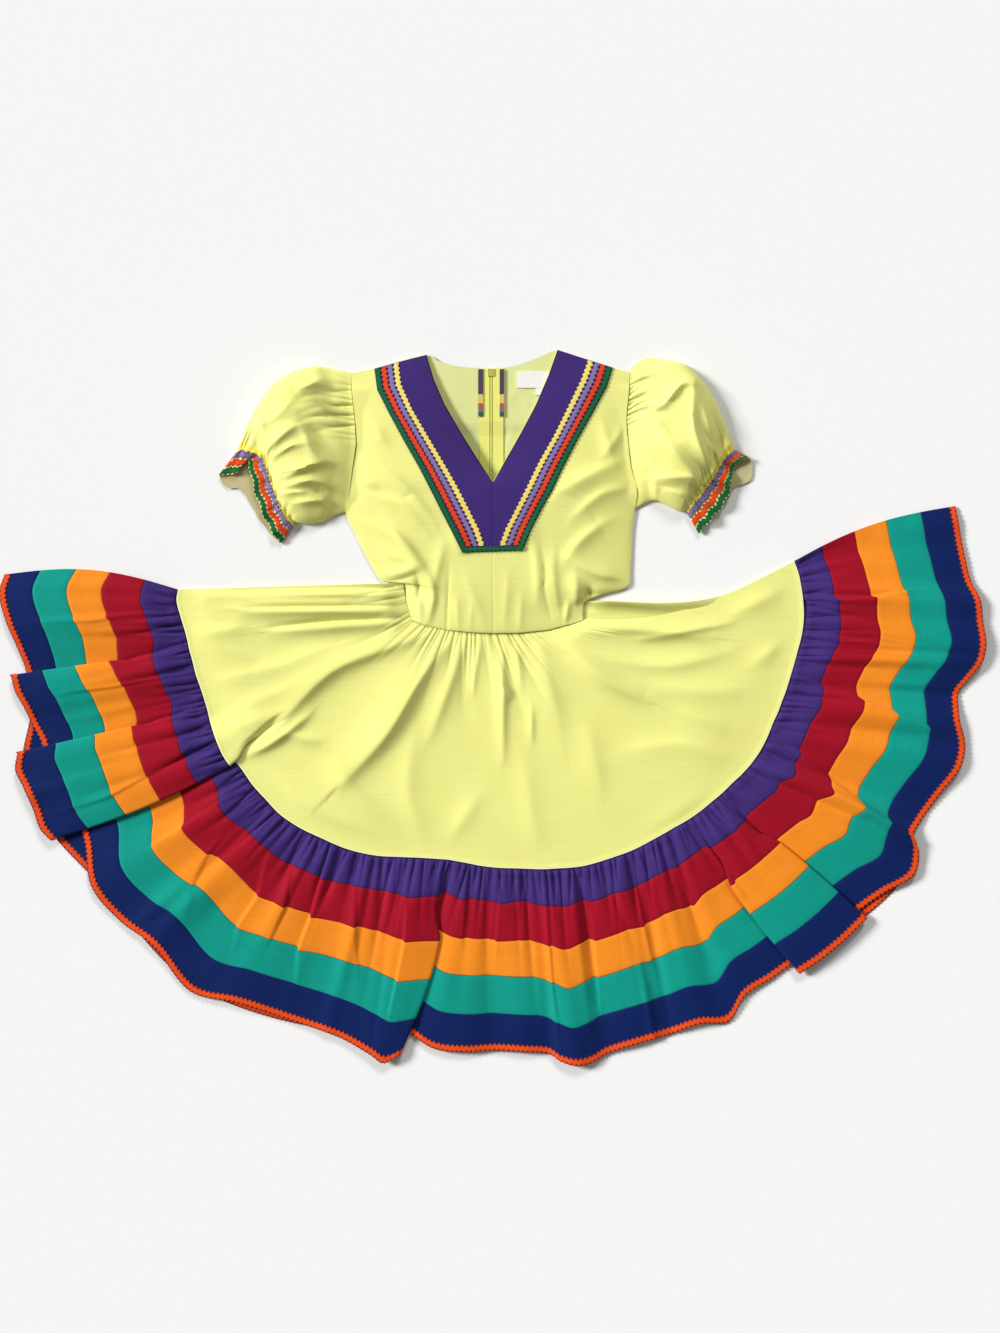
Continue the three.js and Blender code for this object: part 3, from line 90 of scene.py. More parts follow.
# Ruffle, front: five straight strips of plain cotton, purple, crimson, orange, teal and navy, sewn
# edge to edge. The purple one is gathered to the skirt. As laid, the ruffle lies in seven panels,
# and six folds turn its cloth back under itself between them.
MM = 0.001
FRONT_BED = 2.5                     # mid height of the front cloth where it lies lowest
LOWEST_FRONT = 1.95
BACK_BED = 0.6                      # mid height of the cloth that rests on the floor
LAYER = 3.3                         # rise of one turn of a fold over the one below
TURN_STEP = 1.3
FULL_FOLD = 6
FOLD_DRAW = 0.7
FOLD_OPENS = (0.19, 0.395)
CLOTH_WALL = 0.7
STRIP_EDGES = (0, 0.19, 0.395, 0.59, 0.795, 0.955, 1)
RUFFLE_DEPTH = 255                  # millimetres from the skirt seam to the hem
STRIPS = (
    dict(name="purple", rows=15, flat=(2.05, 0.049)),
    dict(name="crimson", rows=10, flat=(2.1, 0.053)),
    dict(name="orange", rows=8, flat=(2.4, 0.050)),
    dict(name="teal", rows=8, flat=(2.6, 0.053)),
    dict(name="navy", rows=7, flat=(2.8, 0.051)),
)
STATIONS = (
    dict(seam=(-442, 167), hem=(-685, 188), rise=0, bow=-17),
    dict(seam=(-444, 152), hem=(-692, 163), rise=4, bow=-8, slip=0.03),
    dict(seam=(-438, 128), hem=(-682, 122), rise=7, slip=0.02),
    dict(seam=(-432, 108), hem=(-667, 86), rise=4, slip=0.02),
    dict(seam=(-428.5, 94), hem=(-655, 53), rise=0, slip=0.04),
    dict(seam=(-427.5, 89), hem=(-653, 22), turn=(0, LAYER), slip=0.04),
    dict(seam=(-426, 82), hem=(-675, 46), turn=(LAYER, 2 * LAYER), slip=0.05),
    dict(seam=(-422.5, 70), hem=(-669, 24), rise=7.4, slip=0.04),
    dict(seam=(-417, 48), hem=(-657, 2), rise=5.5, slip=0.02),
    dict(seam=(-410, 28), hem=(-647, -20), rise=1.5, slip=0.02),
    dict(seam=(-404.5, 11), hem=(-633, -50), rise=0, slip=0.03),
    dict(seam=(-403, 6), hem=(-636, -84), turn=(0, LAYER), slip=0.03),
    dict(seam=(-401, -1), hem=(-666, -62), turn=(LAYER, 2 * LAYER)),
    dict(seam=(-398, -14), hem=(-669, -84), rise=7.6),
    dict(seam=(-393, -30), hem=(-657, -110), rise=8.5, seamRise=4),
    dict(seam=(-387, -46), hem=(-644, -140), rise=7.2, seamRise=7),
    dict(seam=(-381, -58), hem=(-634, -168), rise=7, lap=(2, -6), seamRise=7),
    dict(seam=(-375, -66), hem=(-621, -182), turn=(2 * LAYER, LAYER), lap=(5, -12),
         seamTurn=(2 * LAYER, LAYER), bow=8),
    dict(seam=(-370, -72), hem=(-606, -136), turn=(LAYER, 0), lap=(-20, 24), seamTurn=(LAYER, 0)),
    dict(seam=(-364, -79), hem=(-586, -150), rise=0, lap=(4, 3)),
    dict(seam=(-354, -89), hem=(-573, -186), rise=1, lap=(3, 2)),
    dict(seam=(-338, -106), hem=(-563, -248), rise=5, slip=0.03),
    dict(seam=(-318, -128), hem=(-524, -296), rise=2, slip=0.02),
    dict(seam=(-300, -147), hem=(-478, -330), rise=4.5),
    dict(seam=(-272, -166), hem=(-424, -396), rise=1),
    dict(seam=(-245, -179), hem=(-360, -411), rise=4.5, slip=0.02),
    dict(seam=(-205, -196), hem=(-290, -434), rise=1),
    dict(seam=(-165, -205), hem=(-215, -460), rise=4),
    dict(seam=(-130, -207), hem=(-172, -484), rise=6.8),
    dict(seam=(-105, -208), hem=(-155, -495), rise=7.6),
    dict(seam=(-66, -210.5), hem=(-134, -485), turn=(2 * LAYER, LAYER), bow=17),
    dict(seam=(-62, -211), hem=(-158, -448), turn=(LAYER, 0), bow=-4),
    dict(seam=(-57, -212), hem=(-124, -452), rise=0, bow=3),
    dict(seam=(-40, -215), hem=(-85, -475), rise=3),
    dict(seam=(-20, -219), hem=(-42, -480), rise=5),
    dict(seam=(5, -222), hem=(2, -478), rise=2),
    dict(seam=(35, -223), hem=(45, -480), rise=4.5),
    dict(seam=(60, -224), hem=(78, -483), rise=1.5),
    dict(seam=(72, -224), hem=(94, -493), rise=6),
    dict(seam=(88, -223), hem=(117, -499), rise=8.5, slip=0.02),
    dict(seam=(106, -222), hem=(137, -495), rise=5),
    dict(seam=(128, -219), hem=(158, -483), rise=1.5),
    dict(seam=(162, -209), hem=(203, -468), rise=4.5),
    dict(seam=(195, -197), hem=(248, -455), rise=1.5),
    dict(seam=(222, -183), hem=(288, -441), rise=5),
    dict(seam=(240, -173), hem=(328, -438), rise=1),
    dict(seam=(252, -166), hem=(352, -401), rise=2.5),
    dict(seam=(261, -161), hem=(388, -378), rise=1),
    dict(seam=(268, -157), hem=(417, -358), rise=0),
    dict(seam=(272, -154.5), hem=(450, -338), turn=(0, LAYER)),
    dict(seam=(276, -152), hem=(429, -369), turn=(LAYER, 2 * LAYER), bow=-9),
    dict(seam=(290, -142), hem=(452, -354), rise=8),
    dict(seam=(302, -132), hem=(487, -326), rise=8),
    dict(seam=(313, -123), hem=(520, -294), turn=(2 * LAYER, LAYER), bow=5),
    dict(seam=(317, -119.5), hem=(484, -311), turn=(LAYER, 0)),
    dict(seam=(321, -116), hem=(513, -281), rise=0),
    dict(seam=(332, -105), hem=(548, -256), rise=2),
    dict(seam=(345, -93), hem=(588, -231), rise=5),
    dict(seam=(357, -80), hem=(594, -201), rise=5),
    dict(seam=(367, -67), hem=(586, -177), rise=8, slip=0.07, bow=4),
    dict(seam=(374, -56), hem=(594, -162), rise=1.5, slip=0.03),
    dict(seam=(383, -38), hem=(622, -122), rise=2),
    dict(seam=(391, -18), hem=(653, -80), rise=5),
    dict(seam=(397, -5), hem=(659, -48), rise=2.5),
    dict(seam=(403, 11), hem=(652, -18), rise=5, slip=0.03),
    dict(seam=(409, 27), hem=(650, 2), rise=1.5, slip=0.02),
    dict(seam=(413, 40), hem=(651, 24), rise=0.5),
    dict(seam=(419, 60), hem=(668, 46), rise=3),
    dict(seam=(425, 82), hem=(684, 68), rise=6.5, slip=0.02),
    dict(seam=(431, 106), hem=(688, 92), rise=7, slip=0.03),
    dict(seam=(433.5, 131), hem=(684, 122), rise=4),
    dict(seam=(432, 156), hem=(680, 152), rise=6.5),
    dict(seam=(429, 176), hem=(668, 178), rise=1.5),
    dict(seam=(426, 190), hem=(659, 214), rise=2, bow=4),
    dict(seam=(420, 207), hem=(646, 284), rise=0, bow=13),
)


def mix(a, b, t):
    return a + (b - a) * t


def ramp(value, low, high):
    t = np.clip((np.asarray(value, float) - low) / (high - low), 0, 1)
    return t * t * (3 - 2 * t)


def pair(x, y):
    return np.array((x, y), float)


def unit(a, b):
    way = np.subtract(b, a)
    return way / (math.hypot(*way) or 1)


def run_along(points):
    """Distance along each row of points from its start."""
    steps = np.linalg.norm(np.diff(points, axis=0), axis=-1)
    return np.concatenate([np.zeros((1,) + steps.shape[1:]), np.cumsum(steps, axis=0)])


def smooth_line(points, at):
    """Smooth curve through points, which never swings past them. at counts the points from 0."""
    points = np.asarray(points, float)
    ends = np.concatenate([2 * points[:1] - points[1:2], points, 2 * points[-1:] - points[-2:-1]])
    k = np.clip(np.floor(at).astype(int), 0, len(points) - 2)
    t = (at - k).reshape((-1,) + (1,) * (points.ndim - 1))
    p0, p1, p2, p3 = ends[k], ends[k + 1], ends[k + 2], ends[k + 3]
    near, mid, far = (
        np.maximum(np.linalg.norm(b - a, axis=-1, keepdims=True), 1e-6) ** 0.5
        for a, b in ((p0, p1), (p1, p2), (p2, p3))
    )
    leave = mid * ((p1 - p0) / near - (p2 - p0) / (near + mid) + (p2 - p1) / mid)
    arrive = mid * ((p2 - p1) / mid - (p3 - p1) / (mid + far) + (p3 - p2) / far)
    return ((2 * t ** 3 - 3 * t ** 2 + 1) * p1 + (t ** 3 - 2 * t ** 2 + t) * leave
            + (3 * t ** 2 - 2 * t ** 3) * p2 + (t ** 3 - t ** 2) * arrive)


def plain_station(row):
    station = SimpleNamespace(rise=0, seamRise=0, bow=0, slip=0, lap=(0, 0), out=0, turn=None, seamTurn=None,
                              near_hem=None, folded=False, side=0, into_skirt=False)
    station.__dict__.update(row)
    station.seam, station.hem, station.lap = (pair(*p) for p in (station.seam, station.hem, station.lap))
    return station


def expand_turns(table):
    """Each turn becomes three stations: before it, at its round edge and after it."""
    plain = [plain_station(row) for row in table]
    for k, base in enumerate(plain):
        if base.turn and not base.seamTurn:
            is_first = bool(plain[k + 1].turn)
            before, after = plain[k - 1 if is_first else k - 2], plain[k + 2 if is_first else k + 1]
            base.near_hem = mix(before.hem, after.hem, 1 / 3 if is_first else 2 / 3)
    stations = []
    for k, base in enumerate(plain):
        if not base.turn:
            stations.append(base)
            continue
        first = k if plain[k + 1].turn else k - 1
        for side in (-1, 0, 1):
            share = (side + 1) / 2
            extra = dict(
                side=side, folded=True, into_skirt=bool(base.seamTurn), out=LAYER / 2 if side == 0 else 0,
                rise=mix(*base.turn, share), seamRise=mix(*(base.seamTurn or (0, 0)), share),
                place=(side + 1 + (0 if first == k else 3)) / 5,
                seam_way=unit(plain[k - 1].seam, plain[k + 1].seam), travel=unit(plain[k - 1].hem, base.hem),
                first=plain[first], second=plain[first + 1],
                back=unit(plain[first].hem, plain[first + 1].hem),
            )
            stations.append(SimpleNamespace(**{**base.__dict__, **extra}))
    return stations


def fold_shift(station, plan_of):
    """Sideways shift of a fold's three stations, by how far its two sides lie over each other."""
    if not station.folded:
        return 0
    lie_over = (plan_of(station.second) - plan_of(station.first)) @ station.back
    folding = np.clip(lie_over / FULL_FOLD, 0, 1)[:, None]
    opened = station.seam_way * TURN_STEP * station.side * (1 - folding)
    return opened + station.travel * station.out * folding


def fold_step(station, points, plan_of, ends, closed, opened):
    """Where a fold starts, its stations draw together to one steep step."""
    middle = (plan_of(station.first) + plan_of(station.second)) / 2
    drawn = (FOLD_DRAW * closed * (1 - opened))[:, None]
    points[:, :2] = mix(points[:, :2], middle, drawn)
    points[:, 2] = mix(mix(ends[0], ends[1], station.place), points[:, 2], opened)
    return points


def ruffle_plan(station, share):
    seam = station.seam + station.lap
    along = share + station.slip * np.sin(np.pi * np.clip(share / STRIP_EDGES[5], 0, 1))
    opening = np.ones_like(share) if station.near_hem is None else ramp(share, *FOLD_OPENS)
    hem = np.broadcast_to(station.hem, (len(share), 2))
    if station.near_hem is not None:
        hem = mix(station.near_hem, station.hem, opening[:, None])
    way = (hem - seam) / np.linalg.norm(hem - seam, axis=1, keepdims=True)
    side = (station.bow * np.sin(np.pi * share) * opening)[:, None]
    return seam + (hem - seam) * along[:, None] + np.stack([-way[:, 1], way[:, 0]], axis=1) * side


def ruffle_points(station, share):
    level = ramp(share, 0, 0.17)
    plan = ruffle_plan(station, share) + fold_shift(station, lambda base: ruffle_plan(base, share))
    height = FRONT_BED + mix(station.seamRise, station.rise, level)
    points = np.column_stack([plan, height])
    if not station.folded or station.near_hem is None:
        return points
    ends = FRONT_BED + station.first.turn[0] * level, FRONT_BED + station.second.turn[1] * level
    return fold_step(station, points, lambda base: ruffle_plan(base, share), ends,
                     ramp(share, 0.03, FOLD_OPENS[0]), ramp(share, *FOLD_OPENS))


folded = expand_turns(STATIONS)
folded_seam = np.array([ruffle_points(s, np.array([0.0, 1.0])) for s in folded])


def station_places(longest_seam, longest_hem):
    """Places between the stations, close enough together along the seam and along the hem."""
    places = []
    for k in range(len(folded) - 1):
        seam, hem = np.linalg.norm(folded_seam[k + 1] - folded_seam[k], axis=1)
        parts = max(2, math.ceil(seam / longest_seam), math.ceil(hem / longest_hem))
        places.extend(k + np.arange(parts) / parts)
    return np.array(places + [len(folded) - 1.0])


SEAM_PLACES = station_places(0.6, 3)
SEAM_RUN = run_along(smooth_line(folded_seam[:, :1, :2], SEAM_PLACES)[:, 0])
OPEN_CLOTH = np.array([0.0 if s.folded else 1.0 for s in folded])

draw = np.random.default_rng(11)


def draw_gathers(length, pitch, depth, reach, width, drift):
    """Uneven gathers along a seam: one row each of place, depth, reach, half width and drift."""
    places = np.arange(pitch / 2, length, pitch)
    n = len(places)
    return np.column_stack([
        places + draw.uniform(-0.4, 0.4, n) * pitch,
        draw.uniform(*depth, n), draw.uniform(*reach, n), draw.uniform(*width, n), draw.normal(0, drift, n),
    ])


def gather_height(gathers, along, down, spread):
    """Sum of soft troughs that start at a seam, widen and fade. spread: distance that doubles the width."""
    height = np.zeros(np.broadcast(along, down).shape)
    for place, depth, reach, width, drift in gathers:
        wide = width * (1 + down / spread)
        across = np.hypot((along - place - drift * down / 100) / wide, ROUND_SHARE) - ROUND_SHARE
        height -= depth * np.exp(-FALL * across - (down / reach) ** 2)
    return height


ROUND_SHARE, FALL = 0.3, 1.35       # how round the bottom of a trough is, and how fast its sides rise
SEAM_GATHERS = draw_gathers(SEAM_RUN[-1], 8.6, (2.0, 5.6), (20, 80), (1.5, 3.2), 7)
LONG_GATHERS = draw_gathers(SEAM_RUN[-1], 27, (2.2, 4.6), (70, 230), (3.2, 6), 7)
NOTCH_WIDTH = 11                    # a long gather also draws the strips' seams in beside it
SOFT_WAVES = np.column_stack([
    draw.uniform(0, SEAM_RUN[-1], 90), draw.uniform(60, 250, 90), draw.uniform(-1.8, 2.6, 90),
    draw.uniform(4, 9, 90), draw.uniform(35, 110, 90),
])
# Pleats: the line of each from the skirt seam outwards, the rise and the slip of its cloth beside
# the line, and how far both fade. The raised cloth is on the right of a line, or its left with side -1.
PLEATS = (
    dict(line=((432, 153), (490, 154), (526, 156), (578, 166)), rise=3.0, slip=8, fade=34),
    dict(line=((440, 93), (489, 95), (545, 99), (605, 88)), rise=1.6, slip=2, fade=26),
    dict(line=((440, 38), (465, 31), (521, 12), (570, -9), (618, -29)), rise=4.2, slip=11, fade=40),
    dict(line=((392, -40), (432, -63), (478, -103), (521, -136), (558, -158), (590, -184)),
         rise=4.4, slip=9, fade=46),
    dict(line=((330, -160), (352, -180), (372, -206)), rise=2.2, slip=4, fade=16),
    dict(line=((300, -190), (330, -232), (352, -262)), rise=2.6, slip=5, fade=20),
    dict(line=((250, -215), (272, -262), (300, -330)), rise=2.2, slip=4, fade=24, side=-1),
    dict(line=((196, -222), (208, -290), (222, -352)), rise=2.4, slip=4, fade=22),
    dict(line=((132, -240), (140, -330), (148, -420)), rise=2.4, slip=3, fade=22, side=-1),
    dict(line=((72, -240), (76, -300), (83, -389), (91, -447)), rise=2.8, slip=3, fade=26),
    dict(line=((10, -235), (4, -300), (0, -350)), rise=1.8, slip=3, fade=18, side=-1),
    dict(line=((-38, -240), (-40, -290), (-44, -330)), rise=1.8, slip=3, fade=16),
    dict(line=((-123, -262), (-126, -323), (-137, -379), (-148, -430)), rise=3.0, slip=4, fade=20, side=-1),
    dict(line=((-193, -240), (-193, -318), (-188, -372)), rise=2.2, slip=3, fade=20),
    dict(line=((-238, -222), (-255, -284), (-274, -335), (-277, -378)), rise=3.2, slip=7, fade=26, side=-1),
    dict(line=((-283, -215), (-291, -276), (-314, -326)), rise=2.6, slip=4, fade=22),
    dict(line=((-318, -205), (-332, -262), (-358, -300), (-364, -330)), rise=2.6, slip=3, fade=20, side=-1),
    dict(line=((-380, -180), (-403, -209), (-419, -245), (-424, -280)), rise=2.6, slip=4, fade=20),
    dict(line=((-372, -120), (-392, -136), (-436, -163), (-480, -190)), rise=3.0, slip=5, fade=26, side=-1),
    dict(line=((-420, -50), (-440, -70), (-492, -98), (-540, -125), (-596, -142)), rise=2.4, slip=3, fade=22),
    dict(line=((-430, 50), (-470, 42), (-530, 30), (-600, 22)), rise=2.2, slip=3, fade=20),
    dict(line=((-446, 130), (-500, 132), (-560, 122), (-630, 120)), rise=2.6, slip=4, fade=22),
)
PLEAT_EDGE = 2.6


def nearest_on(line, x, y):
    """How far points lie from a line in plan, on which side, how far along it, and its way there."""
    line = np.asarray(line, float)
    lengths = np.linalg.norm(np.diff(line, axis=0), axis=1)
    nearest = np.full(np.shape(x), np.inf)
    side, share = np.zeros(np.shape(x)), np.zeros(np.shape(x))
    way = np.zeros(np.shape(x) + (2,))
    for k, length in enumerate(lengths):
        ux, uy = (line[k + 1] - line[k]) / length
        along = np.clip((x - line[k, 0]) * ux + (y - line[k, 1]) * uy, 0, length)
        dx, dy = x - line[k, 0] - ux * along, y - line[k, 1] - uy * along
        away = np.hypot(dx, dy)
        closer = away < nearest
        nearest = np.where(closer, away, nearest)
        side = np.where(closer, np.sign(uy * dx - ux * dy), side)
        share = np.where(closer, (lengths[:k].sum() + along) / lengths.sum(), share)
        way = np.where(closer[..., None], (ux, uy), way)
    return nearest, side, share, way


def add_pleats(points, pleats):
    """Cloth beside each pleat's line is raised and slips outwards, with a steep edge on the line."""
    x, y = points[..., 0].copy(), points[..., 1].copy()
    for pleat in pleats:
        away, side, share, way = nearest_on(pleat["line"], x, y)
        across = away * side * pleat.get("side", 1)
        beside = ramp(across, -PLEAT_EDGE, PLEAT_EDGE) * np.exp(-np.maximum(across, 0) / pleat["fade"])
        beside *= np.sin(np.pi * mix(0.06, 0.94, share)) ** 0.6 * np.where((share > 0) & (share < 1), 1, 0.35)
        points[..., :2] += way * (pleat["slip"] * beside)[..., None]
        points[..., 2] += pleat["rise"] * beside
    return points


def ruffle_surface(shares, places):
    """Points of the front ruffle: one row per share, one column per place."""
    shares = np.asarray(shares, float)
    frame_points = np.array([ruffle_points(s, shares) for s in folded])
    points = smooth_line(frame_points, places).transpose(1, 0, 2)
    along = np.interp(places, SEAM_PLACES, SEAM_RUN)[None, :]
    down = (shares * RUFFLE_DEPTH)[:, None]
    open_cloth = np.interp(places, np.arange(len(folded)), OPEN_CLOTH)[None, :]
    free = mix(1, ramp(open_cloth, 0.05, 0.9), ramp(down, 8, 40))
    puff = 4.2 * mix(0.2, 1, ramp(down, 0, 8)) * (1 - 0.5 * ramp(down, 40, 130)) * (1 - ramp(down, 200, 256))
    relief = puff + gather_height(SEAM_GATHERS, along, down, 60) * mix(0.35, 1, ramp(down, 0, 6))
    relief += gather_height(LONG_GATHERS, along, down, 160) * ramp(down, 0, 14)
    for place, depth, rise, width, reach in SOFT_WAVES:
        relief += rise * np.exp(-((along - place) / width) ** 2 - ((down - depth) / reach) ** 2)
    edges = smooth_line(folded_seam[..., :2], places)
    outward = (edges[:, 1] - edges[:, 0]) / np.linalg.norm(edges[:, 1] - edges[:, 0], axis=1, keepdims=True)
    notches = np.zeros(relief.shape)
    for place, depth, reach, width, drift in LONG_GATHERS:
        across = np.abs(along - place - drift * down / 100) / NOTCH_WIDTH
        notches -= 1.1 * depth * np.exp(-across - (down / reach) ** 2)
    notches *= free * ramp(down, 10, 50) * (1 - ramp(down, 205, 240))
    points[..., :2] += outward * notches[..., None]
    points[..., 2] = np.maximum(points[..., 2] + relief * free, LOWEST_FRONT)
    return add_pleats(points, PLEATS)


def lay_cloth(name, points, cloth, wall, materials, inside=0, ring=False, seam=None):
    """A grid shaped to the points, in millimetres, with its UVs in metres of cloth, then given its wall."""
    rows, columns = points.shape[:2]
    bpy.ops.object.select_all(action="DESELECT")
    bpy.ops.mesh.primitive_grid_add(x_subdivisions=columns - 1, y_subdivisions=rows - 1, size=1)
    piece = bpy.context.active_object
    piece.name = piece.data.name = name
    mesh = piece.data
    mesh.vertices.foreach_set("co", (points * MM).ravel())
    corners = np.empty(len(mesh.loops), int)
    mesh.loops.foreach_get("vertex_index", corners)
    mesh.uv_layers.active.data.foreach_set("uv", (cloth * MM).reshape(-1, 2)[corners].ravel())
    if seam is not None:
        mesh.attributes.new("seam", "FLOAT", "POINT").data.foreach_set("value", (seam * MM).ravel())
    for material in materials:
        mesh.materials.append(material)
    normal = np.cross(np.diff(points, axis=1)[:-1], np.diff(points, axis=0)[:, :-1])[..., 2]
    if ring:
        normal = normal[:, : columns // 3]
    if normal.sum() < 0:
        mesh.flip_normals()
    mesh.update()
    if ring:
        bpy.ops.object.mode_set(mode="EDIT")
        bpy.ops.mesh.select_all(action="SELECT")
        bpy.ops.mesh.remove_doubles(threshold=1e-6)
        bpy.ops.object.mode_set(mode="OBJECT")
    solid = piece.modifiers.new("wall", "SOLIDIFY")
    solid.thickness = wall * MM
    solid.offset = 0
    solid.material_offset = inside
    bpy.ops.object.modifier_apply(modifier="wall")
    bpy.ops.object.shade_smooth_by_angle(angle=math.radians(50))
    return piece


def cloth_size(points):
    """UVs that follow the cloth: along its middle row and down each column."""
    middle = run_along(points[len(points) // 2])
    down = run_along(points).mean(axis=1)
    return np.stack(np.meshgrid(middle, down), axis=-1)


def rgb(red, green, blue):
    """A colour, 0 to 255 on a screen, as the renderer's linear values."""
    return (*(((c / 255 + 0.055) / 1.055) ** 2.4 if c > 10 else c / 3295 for c in (red, green, blue)), 1)


def new_group(name, inputs, outputs):
    group = bpy.data.node_groups.new(name, "ShaderNodeTree")
    for side, sockets in (("INPUT", inputs), ("OUTPUT", outputs)):
        for socket, kind, value in sockets:
            made = group.interface.new_socket(socket, in_out=side, socket_type=kind)
            if value is not None:
                made.default_value = value
    return group, group.nodes.new("NodeGroupInput"), group.nodes.new("NodeGroupOutput")


def add_node(tree, kind, settings=(), **inputs):
    """A node with its settings, and each input set to a value or joined to an output."""
    node = tree.nodes.new(kind)
    for key, value in dict(settings).items():
        setattr(node, key, value)
    for key, value in inputs.items():
        by_number = key[0] == "i" and key[1:].isdigit()
        socket = node.inputs[int(key[1:]) if by_number else key.replace("_", " ")]
        if isinstance(value, bpy.types.NodeSocket):
            tree.links.new(value, socket)
        else:
            socket.default_value = value
    return node


def math_node(tree, operation, a, b=0.0, c=None):
    given = dict(i0=a, i1=b) if c is None else dict(i0=a, i1=b, i2=c)
    return add_node(tree, "ShaderNodeMath", dict(operation=operation), **given).outputs[0]


def build_weave():
    """Threads of a plain weave with slubs in the weft and the warp, from cloth coordinates in metres."""
    group, given, result = new_group(
        "plain weave",
        (("Cloth", "NodeSocketVector", None), ("Threads", "NodeSocketFloat", 1900.0),
         ("Slub", "NodeSocketFloat", 0.3), ("Base", "NodeSocketColor", (0.8, 0.8, 0.8, 1)),
         ("Thick thread", "NodeSocketColor", (0.9, 0.9, 0.9, 1)),
         ("Shade", "NodeSocketColor", (0.5, 0.5, 0.5, 1))),
        (("Color", "NodeSocketColor", None), ("Height", "NodeSocketFloat", None)),
    )
    split = add_node(group, "ShaderNodeSeparateXYZ", i0=given.outputs["Cloth"])
    waves = [
        math_node(group, "SINE", math_node(group, "MULTIPLY", split.outputs[k], given.outputs["Threads"]))
        for k in (0, 1)
    ]
    threads = math_node(group, "MULTIPLY", *waves)
    streaks = []
    for stretch in ((16, 900, 1), (620, 30, 1)):
        place = add_node(group, "ShaderNodeVectorMath", dict(operation="MULTIPLY"),
                         i0=given.outputs["Cloth"], i1=stretch)
        noise = add_node(group, "ShaderNodeTexNoise", Vector=place.outputs[0], Scale=1.0, Detail=2.0)
        streaks.append(noise.outputs["Fac"])
    slubs = math_node(group, "MULTIPLY_ADD", streaks[1], 0.35, streaks[0])
    mask = add_node(group, "ShaderNodeMapRange", i0=slubs, i1=0.64, i2=0.95, i3=0.0, i4=1.0)
    dips = add_node(group, "ShaderNodeMapRange", i0=slubs, i1=0.66, i2=0.45, i3=0.0, i4=0.6)
    light_share = math_node(group, "MULTIPLY", mask.outputs[0], given.outputs["Slub"])
    dark_share = math_node(group, "MULTIPLY", dips.outputs[0], given.outputs["Slub"])
    cloud = add_node(group, "ShaderNodeTexNoise", Vector=given.outputs["Cloth"], Scale=9.0, Detail=2.0)
    cloud_share = add_node(group, "ShaderNodeMapRange", i0=cloud.outputs["Fac"], i1=0.35, i2=0.75,
                           i3=0.0, i4=0.16)
    first = add_node(group, "ShaderNodeMix", dict(data_type="RGBA"), i0=light_share,
                     i6=given.outputs["Base"], i7=given.outputs["Thick thread"])
    second = add_node(group, "ShaderNodeMix", dict(data_type="RGBA"), i0=dark_share,
                      i6=first.outputs[2], i7=given.outputs["Shade"])
    third = add_node(group, "ShaderNodeMix", dict(data_type="RGBA"), i0=cloud_share.outputs[0],
                     i6=second.outputs[2], i7=given.outputs["Shade"])
    slub_rise = math_node(group, "MULTIPLY", slubs, given.outputs["Slub"])
    height = math_node(group, "MULTIPLY_ADD", threads, 0.35, slub_rise)
    group.links.new(third.outputs[2], result.inputs["Color"])
    group.links.new(height, result.inputs["Height"])
    return group


WEAVE = build_weave()


def build_line():
    """1 on a thin line where a distance in metres is under a width, with soft edges."""
    group, given, result = new_group(
        "edge line",
        (("Distance", "NodeSocketFloat", 1.0), ("Width", "NodeSocketFloat", 0.001)),
        (("Mask", "NodeSocketFloat", None),),
    )
    share = math_node(group, "DIVIDE", given.outputs["Distance"], given.outputs["Width"])
    mask = add_node(group, "ShaderNodeMapRange", dict(interpolation_type="SMOOTHSTEP"),
                    i0=share, i1=0.7, i2=1.25, i3=1.0, i4=0.0)
    group.links.new(mask.outputs[0], result.inputs["Mask"])
    return group


EDGE_LINE = build_line()


def cloth_material(name, base, thick, shade, slub=0.3, threads=1900.0, roughness=0.74, sheen=0.06, bump=0.25,
                   edges=(), where="UV"):
    """Woven cotton. edges: (attribute or None for the UV's second value, width, colour) of thin lines."""
    material = bpy.data.materials.new(name)
    material.use_nodes = True
    tree = material.node_tree
    look = tree.nodes["Principled BSDF"]
    place = tree.nodes.new("ShaderNodeTexCoord")
    weave = add_node(tree, "ShaderNodeGroup", dict(node_tree=WEAVE), Cloth=place.outputs[where],
                     Threads=threads, Slub=slub, Base=base, Thick_thread=thick, Shade=shade)
    color = weave.outputs["Color"]
    for attribute, width, line_color in edges:
        if attribute:
            source = add_node(tree, "ShaderNodeAttribute", dict(attribute_name=attribute)).outputs["Fac"]
        else:
            source = add_node(tree, "ShaderNodeSeparateXYZ", i0=place.outputs[where]).outputs[1]
        line = add_node(tree, "ShaderNodeGroup", dict(node_tree=EDGE_LINE), Distance=source, Width=width)
        color = add_node(tree, "ShaderNodeMix", dict(data_type="RGBA"), i0=line.outputs["Mask"], i6=color,
                         i7=line_color).outputs[2]
    tree.links.new(color, look.inputs["Base Color"])
    rise = add_node(tree, "ShaderNodeBump", Strength=bump, Distance=0.0006, Height=weave.outputs["Height"])
    tree.links.new(rise.outputs[0], look.inputs["Normal"])
    look.inputs["Roughness"].default_value = roughness
    look.inputs["Specular IOR Level"].default_value = 0.14
    look.inputs["Sheen Weight"].default_value = sheen
    look.inputs["Sheen Roughness"].default_value = 0.5
    return material
